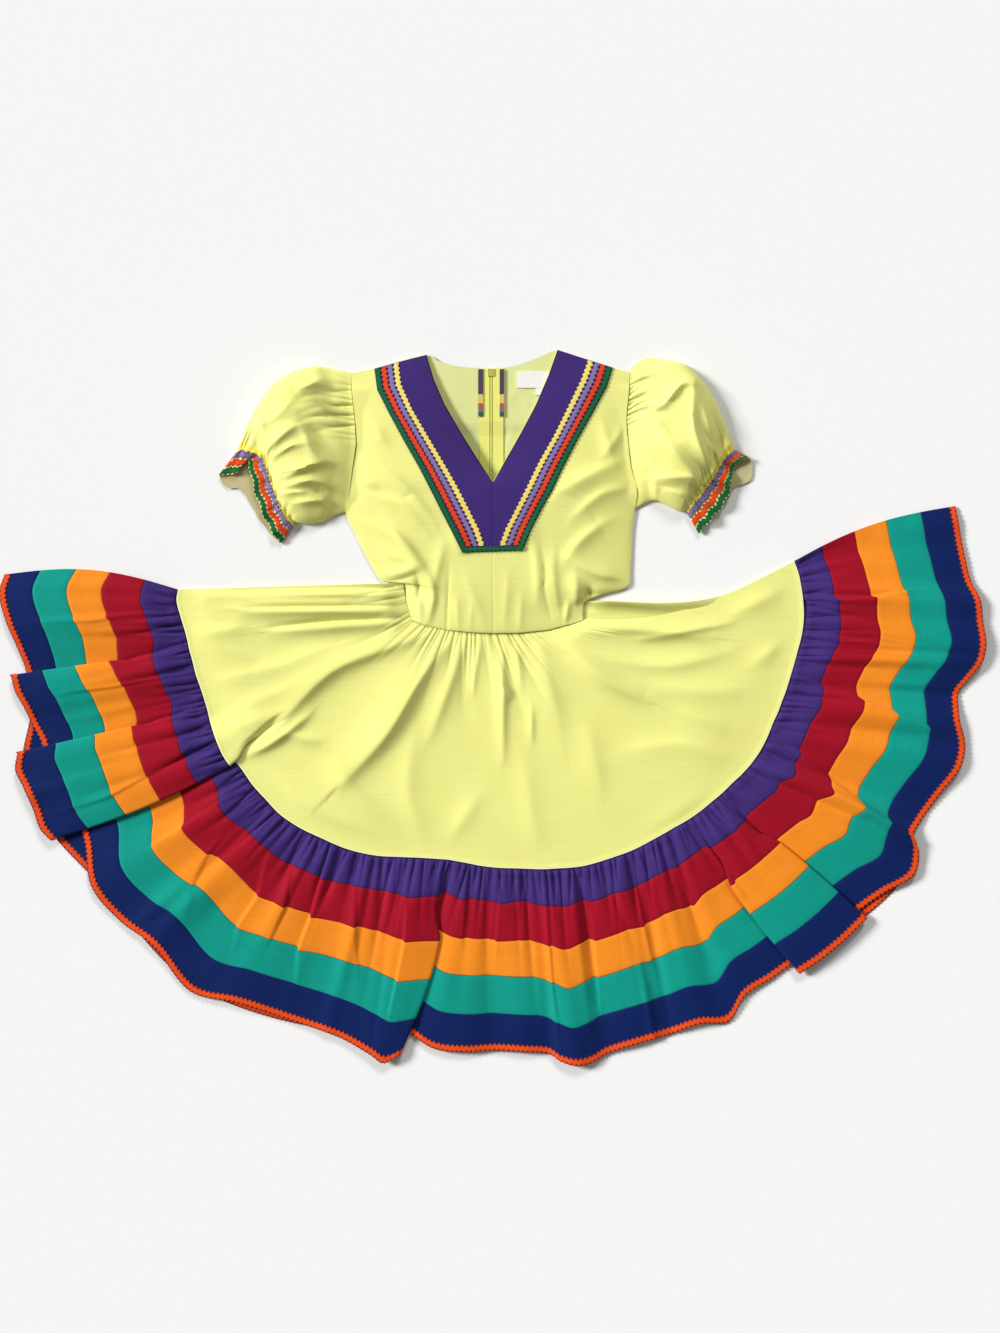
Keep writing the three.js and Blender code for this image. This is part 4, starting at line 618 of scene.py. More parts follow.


# Thin dark lines along the top edge of the purple, crimson, orange and teal strips are painted shade in the
# seams. The black one on the purple (BLACK_EDGE) is a painted shadow under the skirt's edge.
BLACK_EDGE = rgb(14, 8, 22)
STRIP_COTTON = {
    "purple": cloth_material("purple cotton", rgb(60, 38, 110), rgb(76, 54, 132), rgb(40, 24, 76),
                             edges=((None, 0.0016, BLACK_EDGE),)),
    "crimson": cloth_material("crimson cotton", rgb(156, 0, 30), rgb(176, 8, 44), rgb(112, 0, 20),
                              edges=((None, 0.0007, rgb(70, 0, 24)),)),
    "orange": cloth_material("orange cotton", rgb(242, 140, 30), rgb(250, 158, 54), rgb(200, 102, 12),
                             edges=((None, 0.0007, rgb(150, 60, 10)),)),
    "teal": cloth_material("teal cotton", rgb(0, 150, 134), rgb(18, 166, 150), rgb(0, 110, 98),
                           edges=((None, 0.0007, rgb(0, 74, 70)),)),
    "navy": cloth_material("navy cotton", rgb(0, 28, 90), rgb(8, 44, 110), rgb(0, 14, 58)),
}
SEAM_LIP = (0.0008, 0.0034, 0.009)  # shares of the ruffle beside each seam, where its edge turns down
NAVY_END = 0.998


def strip_shares(k, rows):
    low, high = STRIP_EDGES[k], STRIP_EDGES[k + 1] if k < 4 else NAVY_END
    inner = np.linspace(low + SEAM_LIP[2], high - SEAM_LIP[2], rows)
    return np.array([low + SEAM_LIP[0], low + SEAM_LIP[1], *inner, high - SEAM_LIP[1], high - SEAM_LIP[0]])


def turn_down_edges(points, lip, last=True):
    """The first and last row of a strip turn down into the seam."""
    points[0, :, 2] -= lip
    points[1, :, 2] -= lip * 0.35
    if last:
        points[-1, :, 2] -= lip
        points[-2, :, 2] -= lip * 0.35
    return points


front_places = station_places(1.45, 5)
for k, strip in enumerate(STRIPS):
    shares = strip_shares(k, strip["rows"])
    points = turn_down_edges(ruffle_surface(shares, front_places), 0.55, last=k < 4)
    points[..., 2] = np.maximum(points[..., 2], LOWEST_FRONT - 0.5)
    cloth = cloth_size(points)
    piece = lay_cloth(f"{strip['name']}_strip_front", points, cloth, CLOTH_WALL,
                      [STRIP_COTTON[strip["name"]]])
    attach(piece, "garment")
    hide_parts(f"ruffle_{strip['name']}_front")


# Hem trim, front: one long row of orange rick rack, a flat braid that runs in small waves, stitched
# over the folded edge of the navy strip so that dark cloth shows in its hollows.
WAVE = 6.6                          # length of one rick rack wave
WAVE_STEPS = 6
BRAID_WALL = 0.9
BRAID_ACROSS = np.linspace(-1, 1, 3)
BRAID_SWING = 0.12                  # of the row's width
BRAID_HALF = 0.39
BRAID_DOME = 0.28                   # rise of the middle of the braid over its edges
HEM_ROW = (0.957, 1.0)              # shares of the ruffle's depth that the hem row lies between


def build_braid():
    """Slanting threads of a flat braid, from cloth coordinates along and across it in metres."""
    group, given, result = new_group(
        "braid threads",
        (("Cloth", "NodeSocketVector", None), ("Base", "NodeSocketColor", (0.8, 0.8, 0.8, 1)),
         ("Shade", "NodeSocketColor", (0.5, 0.5, 0.5, 1)), ("Half width", "NodeSocketFloat", 0.0033)),
        (("Color", "NodeSocketColor", None), ("Height", "NodeSocketFloat", None)),
    )
    split = add_node(group, "ShaderNodeSeparateXYZ", i0=given.outputs["Cloth"])
    side = math_node(group, "ABSOLUTE", split.outputs[1])
    slant = math_node(group, "SUBTRACT", split.outputs[0], side)
    thread = math_node(group, "SINE", math_node(group, "MULTIPLY", slant, 5200.0))
    height = add_node(group, "ShaderNodeMapRange", i0=thread, i1=-1.0, i2=1.0, i3=0.0, i4=1.0).outputs[0]
    # The braid's rims (rim_shade) and the hollows between its threads are mixed toward the Shade colour. This
    # is painted shade, broken up by a random fuzz.
    rim = math_node(group, "DIVIDE", side, given.outputs["Half width"])
    rim_shade = add_node(group, "ShaderNodeMapRange", i0=rim, i1=0.72, i2=1.0, i3=0.0, i4=0.55).outputs[0]
    fuzz = add_node(group, "ShaderNodeTexNoise", Vector=given.outputs["Cloth"], Scale=700.0, Detail=2.0)
    dark = math_node(group, "MULTIPLY_ADD", math_node(group, "SUBTRACT", 1.0, height), 0.35, rim_shade)
    dark = math_node(group, "MULTIPLY", dark, math_node(group, "ADD", fuzz.outputs["Fac"], 0.4))
    color = add_node(group, "ShaderNodeMix", dict(data_type="RGBA"), i0=dark, i6=given.outputs["Base"],
                     i7=given.outputs["Shade"])
    group.links.new(color.outputs[2], result.inputs["Color"])
    group.links.new(height, result.inputs["Height"])
    return group


BRAID = build_braid()


def braid_material(name, base, shade):
    material = bpy.data.materials.new(name)
    material.use_nodes = True
    tree = material.node_tree
    look = tree.nodes["Principled BSDF"]
    place = tree.nodes.new("ShaderNodeTexCoord")
    braid = add_node(tree, "ShaderNodeGroup", dict(node_tree=BRAID), Cloth=place.outputs["UV"],
                     Base=base, Shade=shade)
    tree.links.new(braid.outputs["Color"], look.inputs["Base Color"])
    rise = add_node(tree, "ShaderNodeBump", Strength=0.5, Distance=0.0004, Height=braid.outputs["Height"])
    tree.links.new(rise.outputs[0], look.inputs["Normal"])
    look.inputs["Roughness"].default_value = 0.62
    look.inputs["Specular IOR Level"].default_value = 0.2
    return material


BRAIDS = {
    "hem": braid_material("orange rick rack", rgb(248, 84, 20), rgb(140, 26, 6)),
    "yellow": braid_material("yellow rick rack", rgb(252, 232, 124), rgb(208, 176, 66)),
    "lilac": braid_material("lilac rick rack", rgb(142, 124, 176), rgb(84, 68, 122)),
    "orange": braid_material("red orange rick rack", rgb(240, 72, 18), rgb(150, 30, 6)),
    "green": braid_material("green rick rack", rgb(8, 104, 56), rgb(2, 52, 28)),
}


def surface_normals(points):
    """The upward unit normals of a grid of points."""
    normals = np.cross(np.gradient(points, axis=1), np.gradient(points, axis=0))
    normals /= np.maximum(np.linalg.norm(normals, axis=-1, keepdims=True), 1e-9)
    return normals * (1 if normals[..., 2].sum() > 0 else -1)


def braid_steps(length):
    """Even steps along a row, a whole number of waves."""
    waves = max(1, round(length / WAVE))
    return np.linspace(0, length, waves * WAVE_STEPS + 1)


def wavy_strip(low, high, normals, run, lift, phase=0.0):
    """A rick rack row between two edges of a surface: points and cloth coordinates."""
    length = run[-1]
    waves = max(1, round(length / WAVE))
    sway = BRAID_SWING * np.sin(2 * np.pi * waves * run / length + phase)
    width = np.linalg.norm(high - low, axis=-1)
    rows, cloth = [], []
    for t in BRAID_ACROSS:
        share = (0.5 + sway + BRAID_HALF * t)[:, None]
        dome = BRAID_DOME * (1 - t * t)
        rows.append(mix(low, high, share) + normals * (lift + dome))
        cloth.append(np.column_stack([run, BRAID_HALF * t * width]))
    return np.array(rows), np.array(cloth)


def hem_braid(surface, places, run, lift, sign):
    """The hem row over a ruffle surface, at places evenly spaced along the hem."""
    steps = braid_steps(run[-1])
    at = np.interp(steps, run, places)
    edges = surface(HEM_ROW, at)
    slope = np.cross(np.gradient(edges[1], axis=0), edges[1] - edges[0])
    slope /= np.linalg.norm(slope, axis=-1, keepdims=True)
    slope *= np.sign(slope[:, 2:]) * sign
    return wavy_strip(edges[0], edges[1], slope, steps, lift)


hem_line = ruffle_surface([0.98], SEAM_PLACES)[0]
points, cloth = hem_braid(ruffle_surface, SEAM_PLACES, run_along(hem_line), 0.85, 1)
points[..., 2] = np.maximum(points[..., 2], LOWEST_FRONT)
piece = lay_cloth("hem_rickrack_front", points, cloth, BRAID_WALL, [BRAIDS["hem"]])
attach(piece, "garment")
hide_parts("rickrack_hem_front")

# Ruffle and hem trim, back: the same strips, lying flat on the floor just inside the front hem,
# with the rick rack on their outer face, which is the lower one here.
HEM_INSET = 9
BACK_GATHERS = draw_gathers(SEAM_RUN[-1], 9, (0.25, 0.9), (22, 80), (1.2, 2.4), 7)
BACK_CREASES = draw_gathers(SEAM_RUN[-1], 42, (0.3, 0.8), (120, 230), (3, 6), 6)


def flat_stations():
    plain = [plain_station(row) for row in STATIONS if "turn" not in row]
    last = len(plain) - 1
    for k, station in enumerate(plain):
        inset = 2 if k in (0, last) else HEM_INSET
        station.hem = station.hem + unit(station.hem, station.seam) * inset
        station.lap, station.slip, station.seamRise, station.rise = pair(0, 0), 0, 0, 0
        station.bow = station.bow if k in (0, last) else 0
    return [s for k, s in enumerate(plain) if k % 3 == 0 or k == last]


flat = flat_stations()
flat_rows = np.array([ruffle_plan(s, np.array([0.0, 1.0])) for s in flat])


def even_places(rows, longest):
    steps = np.linalg.norm(np.diff(rows, axis=0), axis=-1).max(axis=-1)
    places = [k + np.arange(n) / n for k, n in enumerate(np.maximum(2, np.ceil(steps / longest)).astype(int))]
    return np.append(np.concatenate(places), len(rows) - 1.0)


flat_places = even_places(flat_rows, 5)
FLAT_RUN = run_along(smooth_line(flat_rows[:, 0], flat_places))


def back_ruffle_surface(shares, places):
    shares = np.asarray(shares, float)
    plan = smooth_line(np.array([ruffle_plan(s, shares) for s in flat]), places).transpose(1, 0, 2)
    along = np.interp(places, flat_places, FLAT_RUN)[None, :]
    down = (shares * RUFFLE_DEPTH)[:, None]
    creases = -gather_height(BACK_GATHERS, along, down, 70) - gather_height(BACK_CREASES, along, down, 160)
    height = BACK_BED - 0.15 + np.minimum(creases, 0.85) * (1 - ramp(down, 215, 250))
    return np.concatenate([plan, height[..., None]], axis=-1)


for k, strip in enumerate(STRIPS):
    points = back_ruffle_surface(strip_shares(k, strip["rows"] // 2), flat_places)
    piece = lay_cloth(f"{strip['name']}_strip_back", points, cloth_size(points), CLOTH_WALL,
                      [STRIP_COTTON[strip["name"]]])
    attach(piece, "garment")
    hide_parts(f"ruffle_{strip['name']}_back")
hem_line = back_ruffle_surface([0.98], flat_places)[0]
points, cloth = hem_braid(back_ruffle_surface, flat_places, run_along(hem_line), 0, -1)
points[..., 2] = BACK_BED + 0.1
piece = lay_cloth("hem_rickrack_back", points, cloth, BRAID_WALL, [BRAIDS["hem"]])
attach(piece, "garment")
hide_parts("rickrack_hem_back")

# Skirt, front and back: near a half circle each of yellow slubby cotton, gathered into the waist
# seam. The lower edge is stitched over the purple strip. Long creases fan out from the waist.
WAIST = (
    (-127, 176), (-123, 149), (-115, 123.5), (-93, 116.2), (-63, 109.8), (-30, 106.5),
    (0, 105.4), (37, 106), (75, 110), (112, 119.5), (131, 126.5),
)
WAIST_BACK = (*WAIST[:-1], (122, 124), (121, 150))
FAN_CENTRE = (-6, 202)
FRONT_SAG = (25, 0.9)               # how far the right edge curves down in plan, and its skew
BACK_SAG = (30, 1.3)
FOLD_RISE = (0.72, 0.9)
FOLD_LAP = (0.68, 1)
SKIRT_DEPTH = 320
WAIST_LENGTH = 285
SKIRT_ROWS, SKIRT_BACK_ROWS = 80, 36
# Creases: the line each follows, its rise, its half width, and how much steeper its right side is.
SKIRT_CREASES = (
    (((-130, 148), (-250, 144), (-380, 138)), 9, 34, 0),
    (((-127, 169), (-250, 168), (-360, 165)), -5, 5, 0),
    (((-125, 144), (-230, 144), (-340, 141)), -6, 5, 0.3),
    (((-118, 127), (-220, 124), (-310, 114)), -6, 5, 0.3), (((-128, 166), (-400, 158)), 6.1, 14, 0.2),
    (((-126, 136), (-350, 137)), 7.9, 14, 0.4), (((-116, 122), (-310, 108)), 7, 14, 0.3),
    (((-76, 114), (-150, 85), (-227, 53), (-309, -29)), 8.8, 19, 0.35),
    (((-63, 99), (-105, 40), (-150, -35), (-215, -105)), 11, 24, 0.45),
    (((12, 96), (13, -70)), 4.6, 9, 0.2), (((60, 100), (95, -40)), 4.4, 21, 0.2),
    (((96, 98), (154, 41), (210, 13)), 8.8, 19, -0.3),
    (((120, 108), (200, 112), (300, 100)), 7.9, 19, -0.3), (((210, 31), (293, 24), (350, 26)), 4.4, 22, 0),
    (((217, -175), (300, -119)), 3.9, 19, 0.3), (((-127, 175), (-250, 180), (-420, 172)), 3.2, 6, 0.3),
    (((-127, 158), (-300, 160)), 2, 4.5, 0.3), (((-124, 146), (-330, 148)), 2.2, 4.5, 0.4),
    (((-120, 129), (-290, 124)), 1.8, 4, 0.3), (((-430, 118), (-400, 108), (-350, 114)), 4.2, 14, 0.4),
    (((-400, 90), (-330, 70)), 2.8, 19, 0.2), (((-384, 40), (-300, 60), (-230, 86)), 3.9, 18, 0.3),
    (((-378, 2), (-310, 20), (-250, 50)), 3.1, 19, 0.2),
    (((-351, -68), (-318, -52), (-288, -32), (-258, -8)), 6.5, 8, -0.2),
    (((-290, -34), (-263, -40), (-240, -46)), 4.9, 7, 0.4), (((-345, -20), (-300, -8)), 3.9, 16, 0),
    (((-225, -60), (-200, -110), (-150, -160)), 3.5, 22, 0.3),
    (((-110, -30), (-120, -110), (-100, -180)), 2.8, 19, 0), (((10, 36), (16, 24), (18, 11)), 3, 4, 0.5),
    (((-40, 104), (-60, 40), (-90, -40)), 4.5, 14, 0.2), (((-20, 100), (-30, 20)), 2.9, 7, 0.2),
    (((30, 100), (38, 30)), 2.9, 7, 0), (((53, 4), (53, -46)), 2.6, 6, 0.3),
    (((40, -60), (60, -190)), 2.4, 19, 0), (((130, -20), (150, -120)), 3.1, 21, 0.2),
    (((150, 70), (240, 60), (330, 80)), 4.2, 16, -0.2), (((250, 0), (330, -30)), 3.1, 19, 0),
    (((180, -60), (260, -50), (330, -70)), 3.1, 19, 0.2), (((330, 130), (400, 165)), 3.5, 16, 0),
    (((360, 60), (400, 90)), 2.6, 14, 0), (((-20, -120), (-60, -180)), 2.6, 16, 0),
    (((200, 96), (330, 120)), 3.8, 9, -0.3), (((-300, -100), (-250, -140), (-180, -172)), 3.5, 14, 0),
)


CREST_ROUND, CREST_FALL = 0.4, 1.5
SKIRT_FOLD = 1.15


def crease_height(creases, x, y, crest=CREST_ROUND):
    """Sum of soft ridges, and of troughs where the rise is below 0, each along its line in plan."""
    height = np.zeros(np.shape(x))
    for line, rise, half, lean in creases:
        curve = smooth_line(line, np.linspace(0, len(line) - 1, 4 * len(line) - 3)) if len(line) > 2 else line
        nearest, side, share, _ = nearest_on(curve, x, y)
        across = np.hypot(nearest / (half * (1 + lean * side)), crest) - crest
        height += rise * np.exp(-CREST_FALL * across) * np.sin(np.pi * mix(0.1, 0.9, share))
    return height


def fan_angle(plan):
    angle = np.arctan2(plan[1] - FAN_CENTRE[1], plan[0] - FAN_CENTRE[0])
    return angle + (2 * np.pi if angle < 1 else 0)


def fan_share(station):
    first, last = fan_angle(folded[0].seam), fan_angle(folded[-1].seam)
    return (fan_angle(station.seam) - first) / (last - first)


def point_along(line, share):
    line = np.asarray(line, float)
    run = run_along(line)
    return pair(*(np.interp(share * run[-1], run, line[:, k]) for k in (0, 1)))


def skirt_plan(station, share, waist, sag):
    turn = fan_share(station)
    seam = station.seam + station.lap * ramp(share, *FOLD_LAP)[:, None]
    plan = mix(point_along(waist, turn), seam, share[:, None])
    plan[:, 1] -= sag[0] * ramp(turn, 0.86, 1) * np.sin(np.pi * share ** sag[1])
    return plan


def skirt_points(station, share, waist, bed, sag):
    plan = skirt_plan(station, share, waist, sag)
    level = ramp(share, *FOLD_RISE)
    shift = fold_shift(station, lambda base: skirt_plan(base, share, waist, sag))
    plan = plan + shift * mix(0.2, 1, share)[:, None]
    points = np.column_stack([plan, bed + station.seamRise * level])
    if not station.into_skirt:
        return points
    ends = bed + station.first.seamTurn[0] * level, bed + station.second.seamTurn[1] * level
    return fold_step(station, points, lambda base: skirt_plan(base, share, waist, sag), ends,
                     ramp(share, *FOLD_RISE), ramp(share, 0.86, 0.96))


WAIST_GATHERS = draw_gathers(WAIST_LENGTH, 5.6, (0.8, 2.8), (16, 120), (0.8, 1.6), 4)
WAIST_GATHERS[:, 1] *= 0.55 + 0.6 * np.exp(-((WAIST_GATHERS[:, 0] - 150) / 60) ** 2)
yellow_words = dict(thick=rgb(250, 250, 186), shade=rgb(216, 208, 92), slub=0.3)
YELLOW = rgb(237, 237, 140)
PALE_EDGE = rgb(250, 250, 214)
SKIRT_COTTON = cloth_material("yellow skirt cotton", YELLOW, edges=(("seam", 0.0013, PALE_EDGE),),
                              **yellow_words)

skirt_shares = np.append(np.linspace(0, 0.985, SKIRT_ROWS - 2) ** 0.93, [0.996, 0.9995])
skirt_places = station_places(3.3, 1000)
frame_points = np.array([skirt_points(s, skirt_shares, WAIST, FRONT_BED, FRONT_SAG) for s in folded])
points = smooth_line(frame_points, skirt_places).transpose(1, 0, 2)
turns = np.interp(skirt_places, np.arange(len(folded)), [fan_share(s) for s in folded])[None, :]
down = skirt_shares[:, None] * SKIRT_DEPTH
free = mix(1, ramp(np.interp(skirt_places, np.arange(len(folded)),
                             [0.0 if s.into_skirt else 1.0 for s in folded]), 0.05, 0.9)[None, :],
           ramp(skirt_shares, 0.66, 0.85)[:, None])
puff = 2.6 * ramp(down, 0, 6) * (1 - ramp(down, 30, 130))
puff = puff + 1.6 * ramp(down, 20, 110) * (1 - ramp(down, 250, 318))
relief = puff + gather_height(WAIST_GATHERS, turns * WAIST_LENGTH, down, 45) * mix(0.3, 1, ramp(down, 0, 6))
creases = crease_height(SKIRT_CREASES, points[..., 0], points[..., 1])
relief += SKIRT_FOLD * creases * ramp(down, 0, 30) * (1 - ramp(down, 280, 320))
waist_cord = 1.9 * np.exp(-((down - 1.2) / 1.9) ** 2)
points[..., 2] = np.maximum(points[..., 2] + relief * free + waist_cord, LOWEST_FRONT)
points[-1, :, 2] += 0.5
points[-2, :, 2] += 0.75
seam_distance = np.broadcast_to((1 - skirt_shares[:, None]) * SKIRT_DEPTH, points.shape[:2])
piece = lay_cloth("skirt_panel_front", points, points[..., :2], CLOTH_WALL, [SKIRT_COTTON],
                  seam=seam_distance)
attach(piece, "garment")
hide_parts("skirt_front")

SKIRT_BACK_CREASES = (
    (((-126, 150), (-400, 140)), 0.9, 8, 0), (((-100, 110), (-330, -20)), 0.9, 9, 0),
    (((0, 100), (0, -200)), 0.8, 7, 0), (((-60, 100), (-150, -150)), 0.9, 9, 0),
    (((60, 100), (150, -160)), 0.9, 9, 0), (((110, 110), (330, -30)), 0.9, 9, 0),
    (((125, 130), (400, 130)), 0.8, 8, 0), (((200, 150), (400, 180)), 0.8, 7, 0),
)
EDGE_ROLL = 12                      # the right top edge stands up, so that its inside shows above the front
back_shares = np.append(np.linspace(0, 0.985, SKIRT_BACK_ROWS - 1), 0.9995)
skirt_back_places = even_places(flat_rows[:, :1], 5)
frame_points = np.array([skirt_points(s, back_shares, WAIST_BACK, BACK_BED - 0.15, BACK_SAG) for s in flat])
points = smooth_line(frame_points, skirt_back_places).transpose(1, 0, 2)
turns = np.interp(skirt_back_places, np.arange(len(flat)), [fan_share(s) for s in flat])[None, :]
down = back_shares[:, None] * SKIRT_DEPTH
creases = -0.4 * gather_height(WAIST_GATHERS, turns * WAIST_LENGTH, down, 45)
creases += crease_height(SKIRT_BACK_CREASES, points[..., 0], points[..., 1])
points[..., 2] += np.minimum(creases, 0.9) * (1 - ramp(down, 280, 320))
edge_away = (1 - turns) * WAIST_LENGTH
points[..., 2] += EDGE_ROLL * np.exp(-(edge_away / 4.5) ** 2) * ramp(down, 4, 40) * (1 - ramp(down, 130, 250))
seam_distance = np.broadcast_to((1 - back_shares[:, None]) * SKIRT_DEPTH, points.shape[:2])
piece = lay_cloth("skirt_panel_back", points, points[..., :2], CLOTH_WALL, [SKIRT_COTTON],
                  seam=seam_distance)
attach(piece, "garment")
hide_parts("skirt_back")


# Bodice, front: two halves of the yellow cotton with a seam down the middle, a bust dart and a waist
# dart in each, laid over the back so that they stand up off it in soft folds.
CENTRE_X = -1.5                     # centre front seam as it lies
SEAM_GAP = 0.03
LOWEST_BODICE = 2.4                 # least mid height, which keeps it clear of the back half
BODICE_LEFT = (
    dict(inner=(CENTRE_X, 106), band=(-10, 106), trim=(-45, 109), outer=(-114, 124), z=(4.6, 4.6), crown=2),
    dict(inner=(CENTRE_X, 128), band=(-10, 128), trim=(-45, 130), outer=(-122, 149), z=(6, 4.2), crown=5),
    dict(inner=(CENTRE_X, 152), band=(-10, 152), trim=(-45, 154), outer=(-126.5, 177), z=(8, 4), crown=6),
    dict(inner=(CENTRE_X, 173), band=(-10, 173), trim=(-45, 174), outer=(-155, 179), z=(9, 3.6), crown=7),
    dict(inner=(CENTRE_X, 196), band=(-10, 196), trim=(-45, 196), outer=(-168, 195), z=(10, 2.8), crown=7),
    dict(inner=(CENTRE_X, 219.5), band=(-10, 219.5), trim=(-44, 218), outer=(-182, 220),
         z=(11, 2.6), crown=7),
    dict(inner=(CENTRE_X, 250), band=(-20, 250), trim=(-60, 250), outer=(-195, 247), z=(12, 2.6), crown=8),
    dict(inner=(CENTRE_X, 285), band=(-36, 282), trim=(-75, 279), outer=(-207, 273), z=(12.5, 3), crown=8),
    dict(inner=(CENTRE_X, 317), band=(-51, 311), trim=(-88, 305), outer=(-201, 303), z=(12.5, 5), crown=7),
    dict(inner=(-23, 350), band=(-70, 344), trim=(-105, 338), outer=(-197, 336), z=(12, 6), crown=5),
    dict(inner=(-46, 387), band=(-92, 381), trim=(-126, 375), outer=(-192, 370), z=(11.5, 6), crown=4),
    dict(inner=(-68, 425), band=(-114, 419), trim=(-146, 412), outer=(-194, 405), z=(10.5, 6), crown=3),
    dict(inner=(-83, 460), band=(-129, 453), trim=(-163, 446), outer=(-198, 440), z=(8, 5.5), crown=2),
    dict(inner=(-93.5, 495), band=(-133, 485), trim=(-167, 475.5), outer=(-200, 469), z=(5.4, 5), crown=0),
)
BODICE_RIGHT = (
    dict(inner=(CENTRE_X, 106), band=(7, 106), trim=(41, 107), outer=(124, 126), z=(4.6, 4.6), crown=2),
    dict(inner=(CENTRE_X, 128), band=(7, 128), trim=(41, 129), outer=(125, 147), z=(6, 4.2), crown=5),
    dict(inner=(CENTRE_X, 152), band=(7, 152), trim=(41, 152), outer=(150, 160), z=(8, 4), crown=6),
    dict(inner=(CENTRE_X, 173), band=(7, 173), trim=(41, 173), outer=(187, 172), z=(9, 3.6), crown=7),
    dict(inner=(CENTRE_X, 196), band=(7, 196), trim=(41, 196), outer=(190, 190), z=(10, 2.8), crown=7),
    dict(inner=(CENTRE_X, 219.5), band=(4, 220), trim=(40, 221), outer=(192, 219), z=(11, 2.6), crown=7),
    dict(inner=(CENTRE_X, 250), band=(15, 250), trim=(52, 250), outer=(193.5, 249), z=(12, 2.6), crown=8),
    dict(inner=(CENTRE_X, 285), band=(32, 283), trim=(67, 280), outer=(197, 279), z=(12.5, 3), crown=8),
    dict(inner=(CENTRE_X, 317), band=(46, 311), trim=(82, 306), outer=(199.5, 305), z=(12.5, 5), crown=7),
    dict(inner=(17, 350), band=(62, 344), trim=(97, 338), outer=(191.5, 338), z=(12, 6), crown=5),
    dict(inner=(38, 387), band=(83, 381), trim=(116, 375), outer=(187.5, 371), z=(11.5, 6), crown=4),
    dict(inner=(58, 425), band=(102, 420), trim=(138, 414), outer=(185, 405), z=(10.5, 6), crown=3),
    dict(inner=(75, 465), band=(121, 460), trim=(158, 451), outer=(188, 441), z=(8, 5.5), crown=2),
    dict(inner=(88, 502), band=(131, 488), trim=(166, 477), outer=(190, 470), z=(5.4, 5), crown=0),
)
CROSS_ROW = 5                       # the section at the lower edge of the green rows
BODICE_ROWS = 9                     # rows between two sections
BODICE_COLUMNS = np.concatenate([
    np.linspace(0, 1, 12)[:-1], np.linspace(1, 5, 19)[:-1], np.linspace(5, 9, 46),
])
BODICE_CREASES = {
    "left": (
        (((-190, 350), (-150, 330), (-115, 300), (-85, 262)), 6, 14, 0.3),
        (((-150, 262), (-99, 190)), 6, 11, -0.3), (((-160, 186), (-130, 190), (-104, 200)), 5.2, 10, 0),
        (((-93, 192), (-84, 160), (-92, 122)), 4.6, 8, 0.3), (((-40, 190), (-12, 112)), 1.8, 11, 0),
        (((-178, 300), (-130, 286), (-95, 250)), 3.9, 10, 0.3),
        (((-172, 262), (-128, 236), (-98, 196)), 4.5, 9, 0.4), (((-160, 225), (-120, 205)), 3.3, 8, 0.3),
        (((-127, 294), (-112, 301)), -1.4, 2, 0), (((-62, 200), (-66, 104)), -1.6, 2.2, 0.2),
        (((-107, 186), (-105, 168), (-107, 150)), -5, 5, 0),
        (((-158, 178), (-128, 182), (-104, 190)), -2.4, 3, 0), (((-170, 400), (-150, 370)), 3, 10, 0),
        (((-110, 180), (-102, 128)), 3.6, 8, 0.2), (((-52, 160), (-50, 112)), 1.4, 6, 0),
        (((-30, 150), (-34, 110)), 0.9, 5, 0), (((-60, 250), (-45, 215)), 2.1, 9, 0),
        (((-192, 322), (-160, 312)), 3, 8, 0.2), (((-70, 232), (-84, 170)), 3, 9, 0.2),
    ),
    "right": (
        (((175, 345), (130, 325), (88, 300)), 6, 14, -0.3),
        (((97, 300), (128, 282), (160, 240)), -1.5, 2.2, 0),
        (((100, 214), (140, 190), (184, 180)), 6.8, 10, -0.2), (((112, 190), (118, 140)), 6, 10, 0),
        (((65, 231), (72, 187), (70, 169), (80, 127)), -1.8, 2.4, 0),
        (((54, 236), (60, 190), (60, 150)), 2.8, 8, -0.3), (((84, 225), (84, 180), (92, 130)), 3, 8, 0.3),
        (((155, 262), (120, 235), (98, 205)), 4.5, 10, -0.3),
        (((186, 310), (150, 300), (110, 268)), 3.9, 10, -0.3), (((134, 170), (130, 142)), -6, 6, 0),
        (((186, 171), (153, 158), (134, 163)), -2.2, 3.2, 0), (((20, 190), (14, 112)), 1.4, 8, 0),
        (((38, 160), (36, 110)), 1.4, 6, 0), (((150, 400), (165, 350)), 3.3, 10, 0),
        (((60, 262), (40, 225)), 2, 9, 0), (((104, 150), (100, 122)), 3, 5, 0),
        (((184, 395), (150, 350)), 2.7, 9, 0),
    ),
}
BODICE_COTTON = cloth_material("yellow bodice cotton", YELLOW, **yellow_words)


ARMHOLE_HEIGHT = 8.5
BODICE_FOLD = 1.12


def waist_height(x):
    line = np.asarray(WAIST, float)
    return np.interp(x, line[:, 0], line[:, 1])


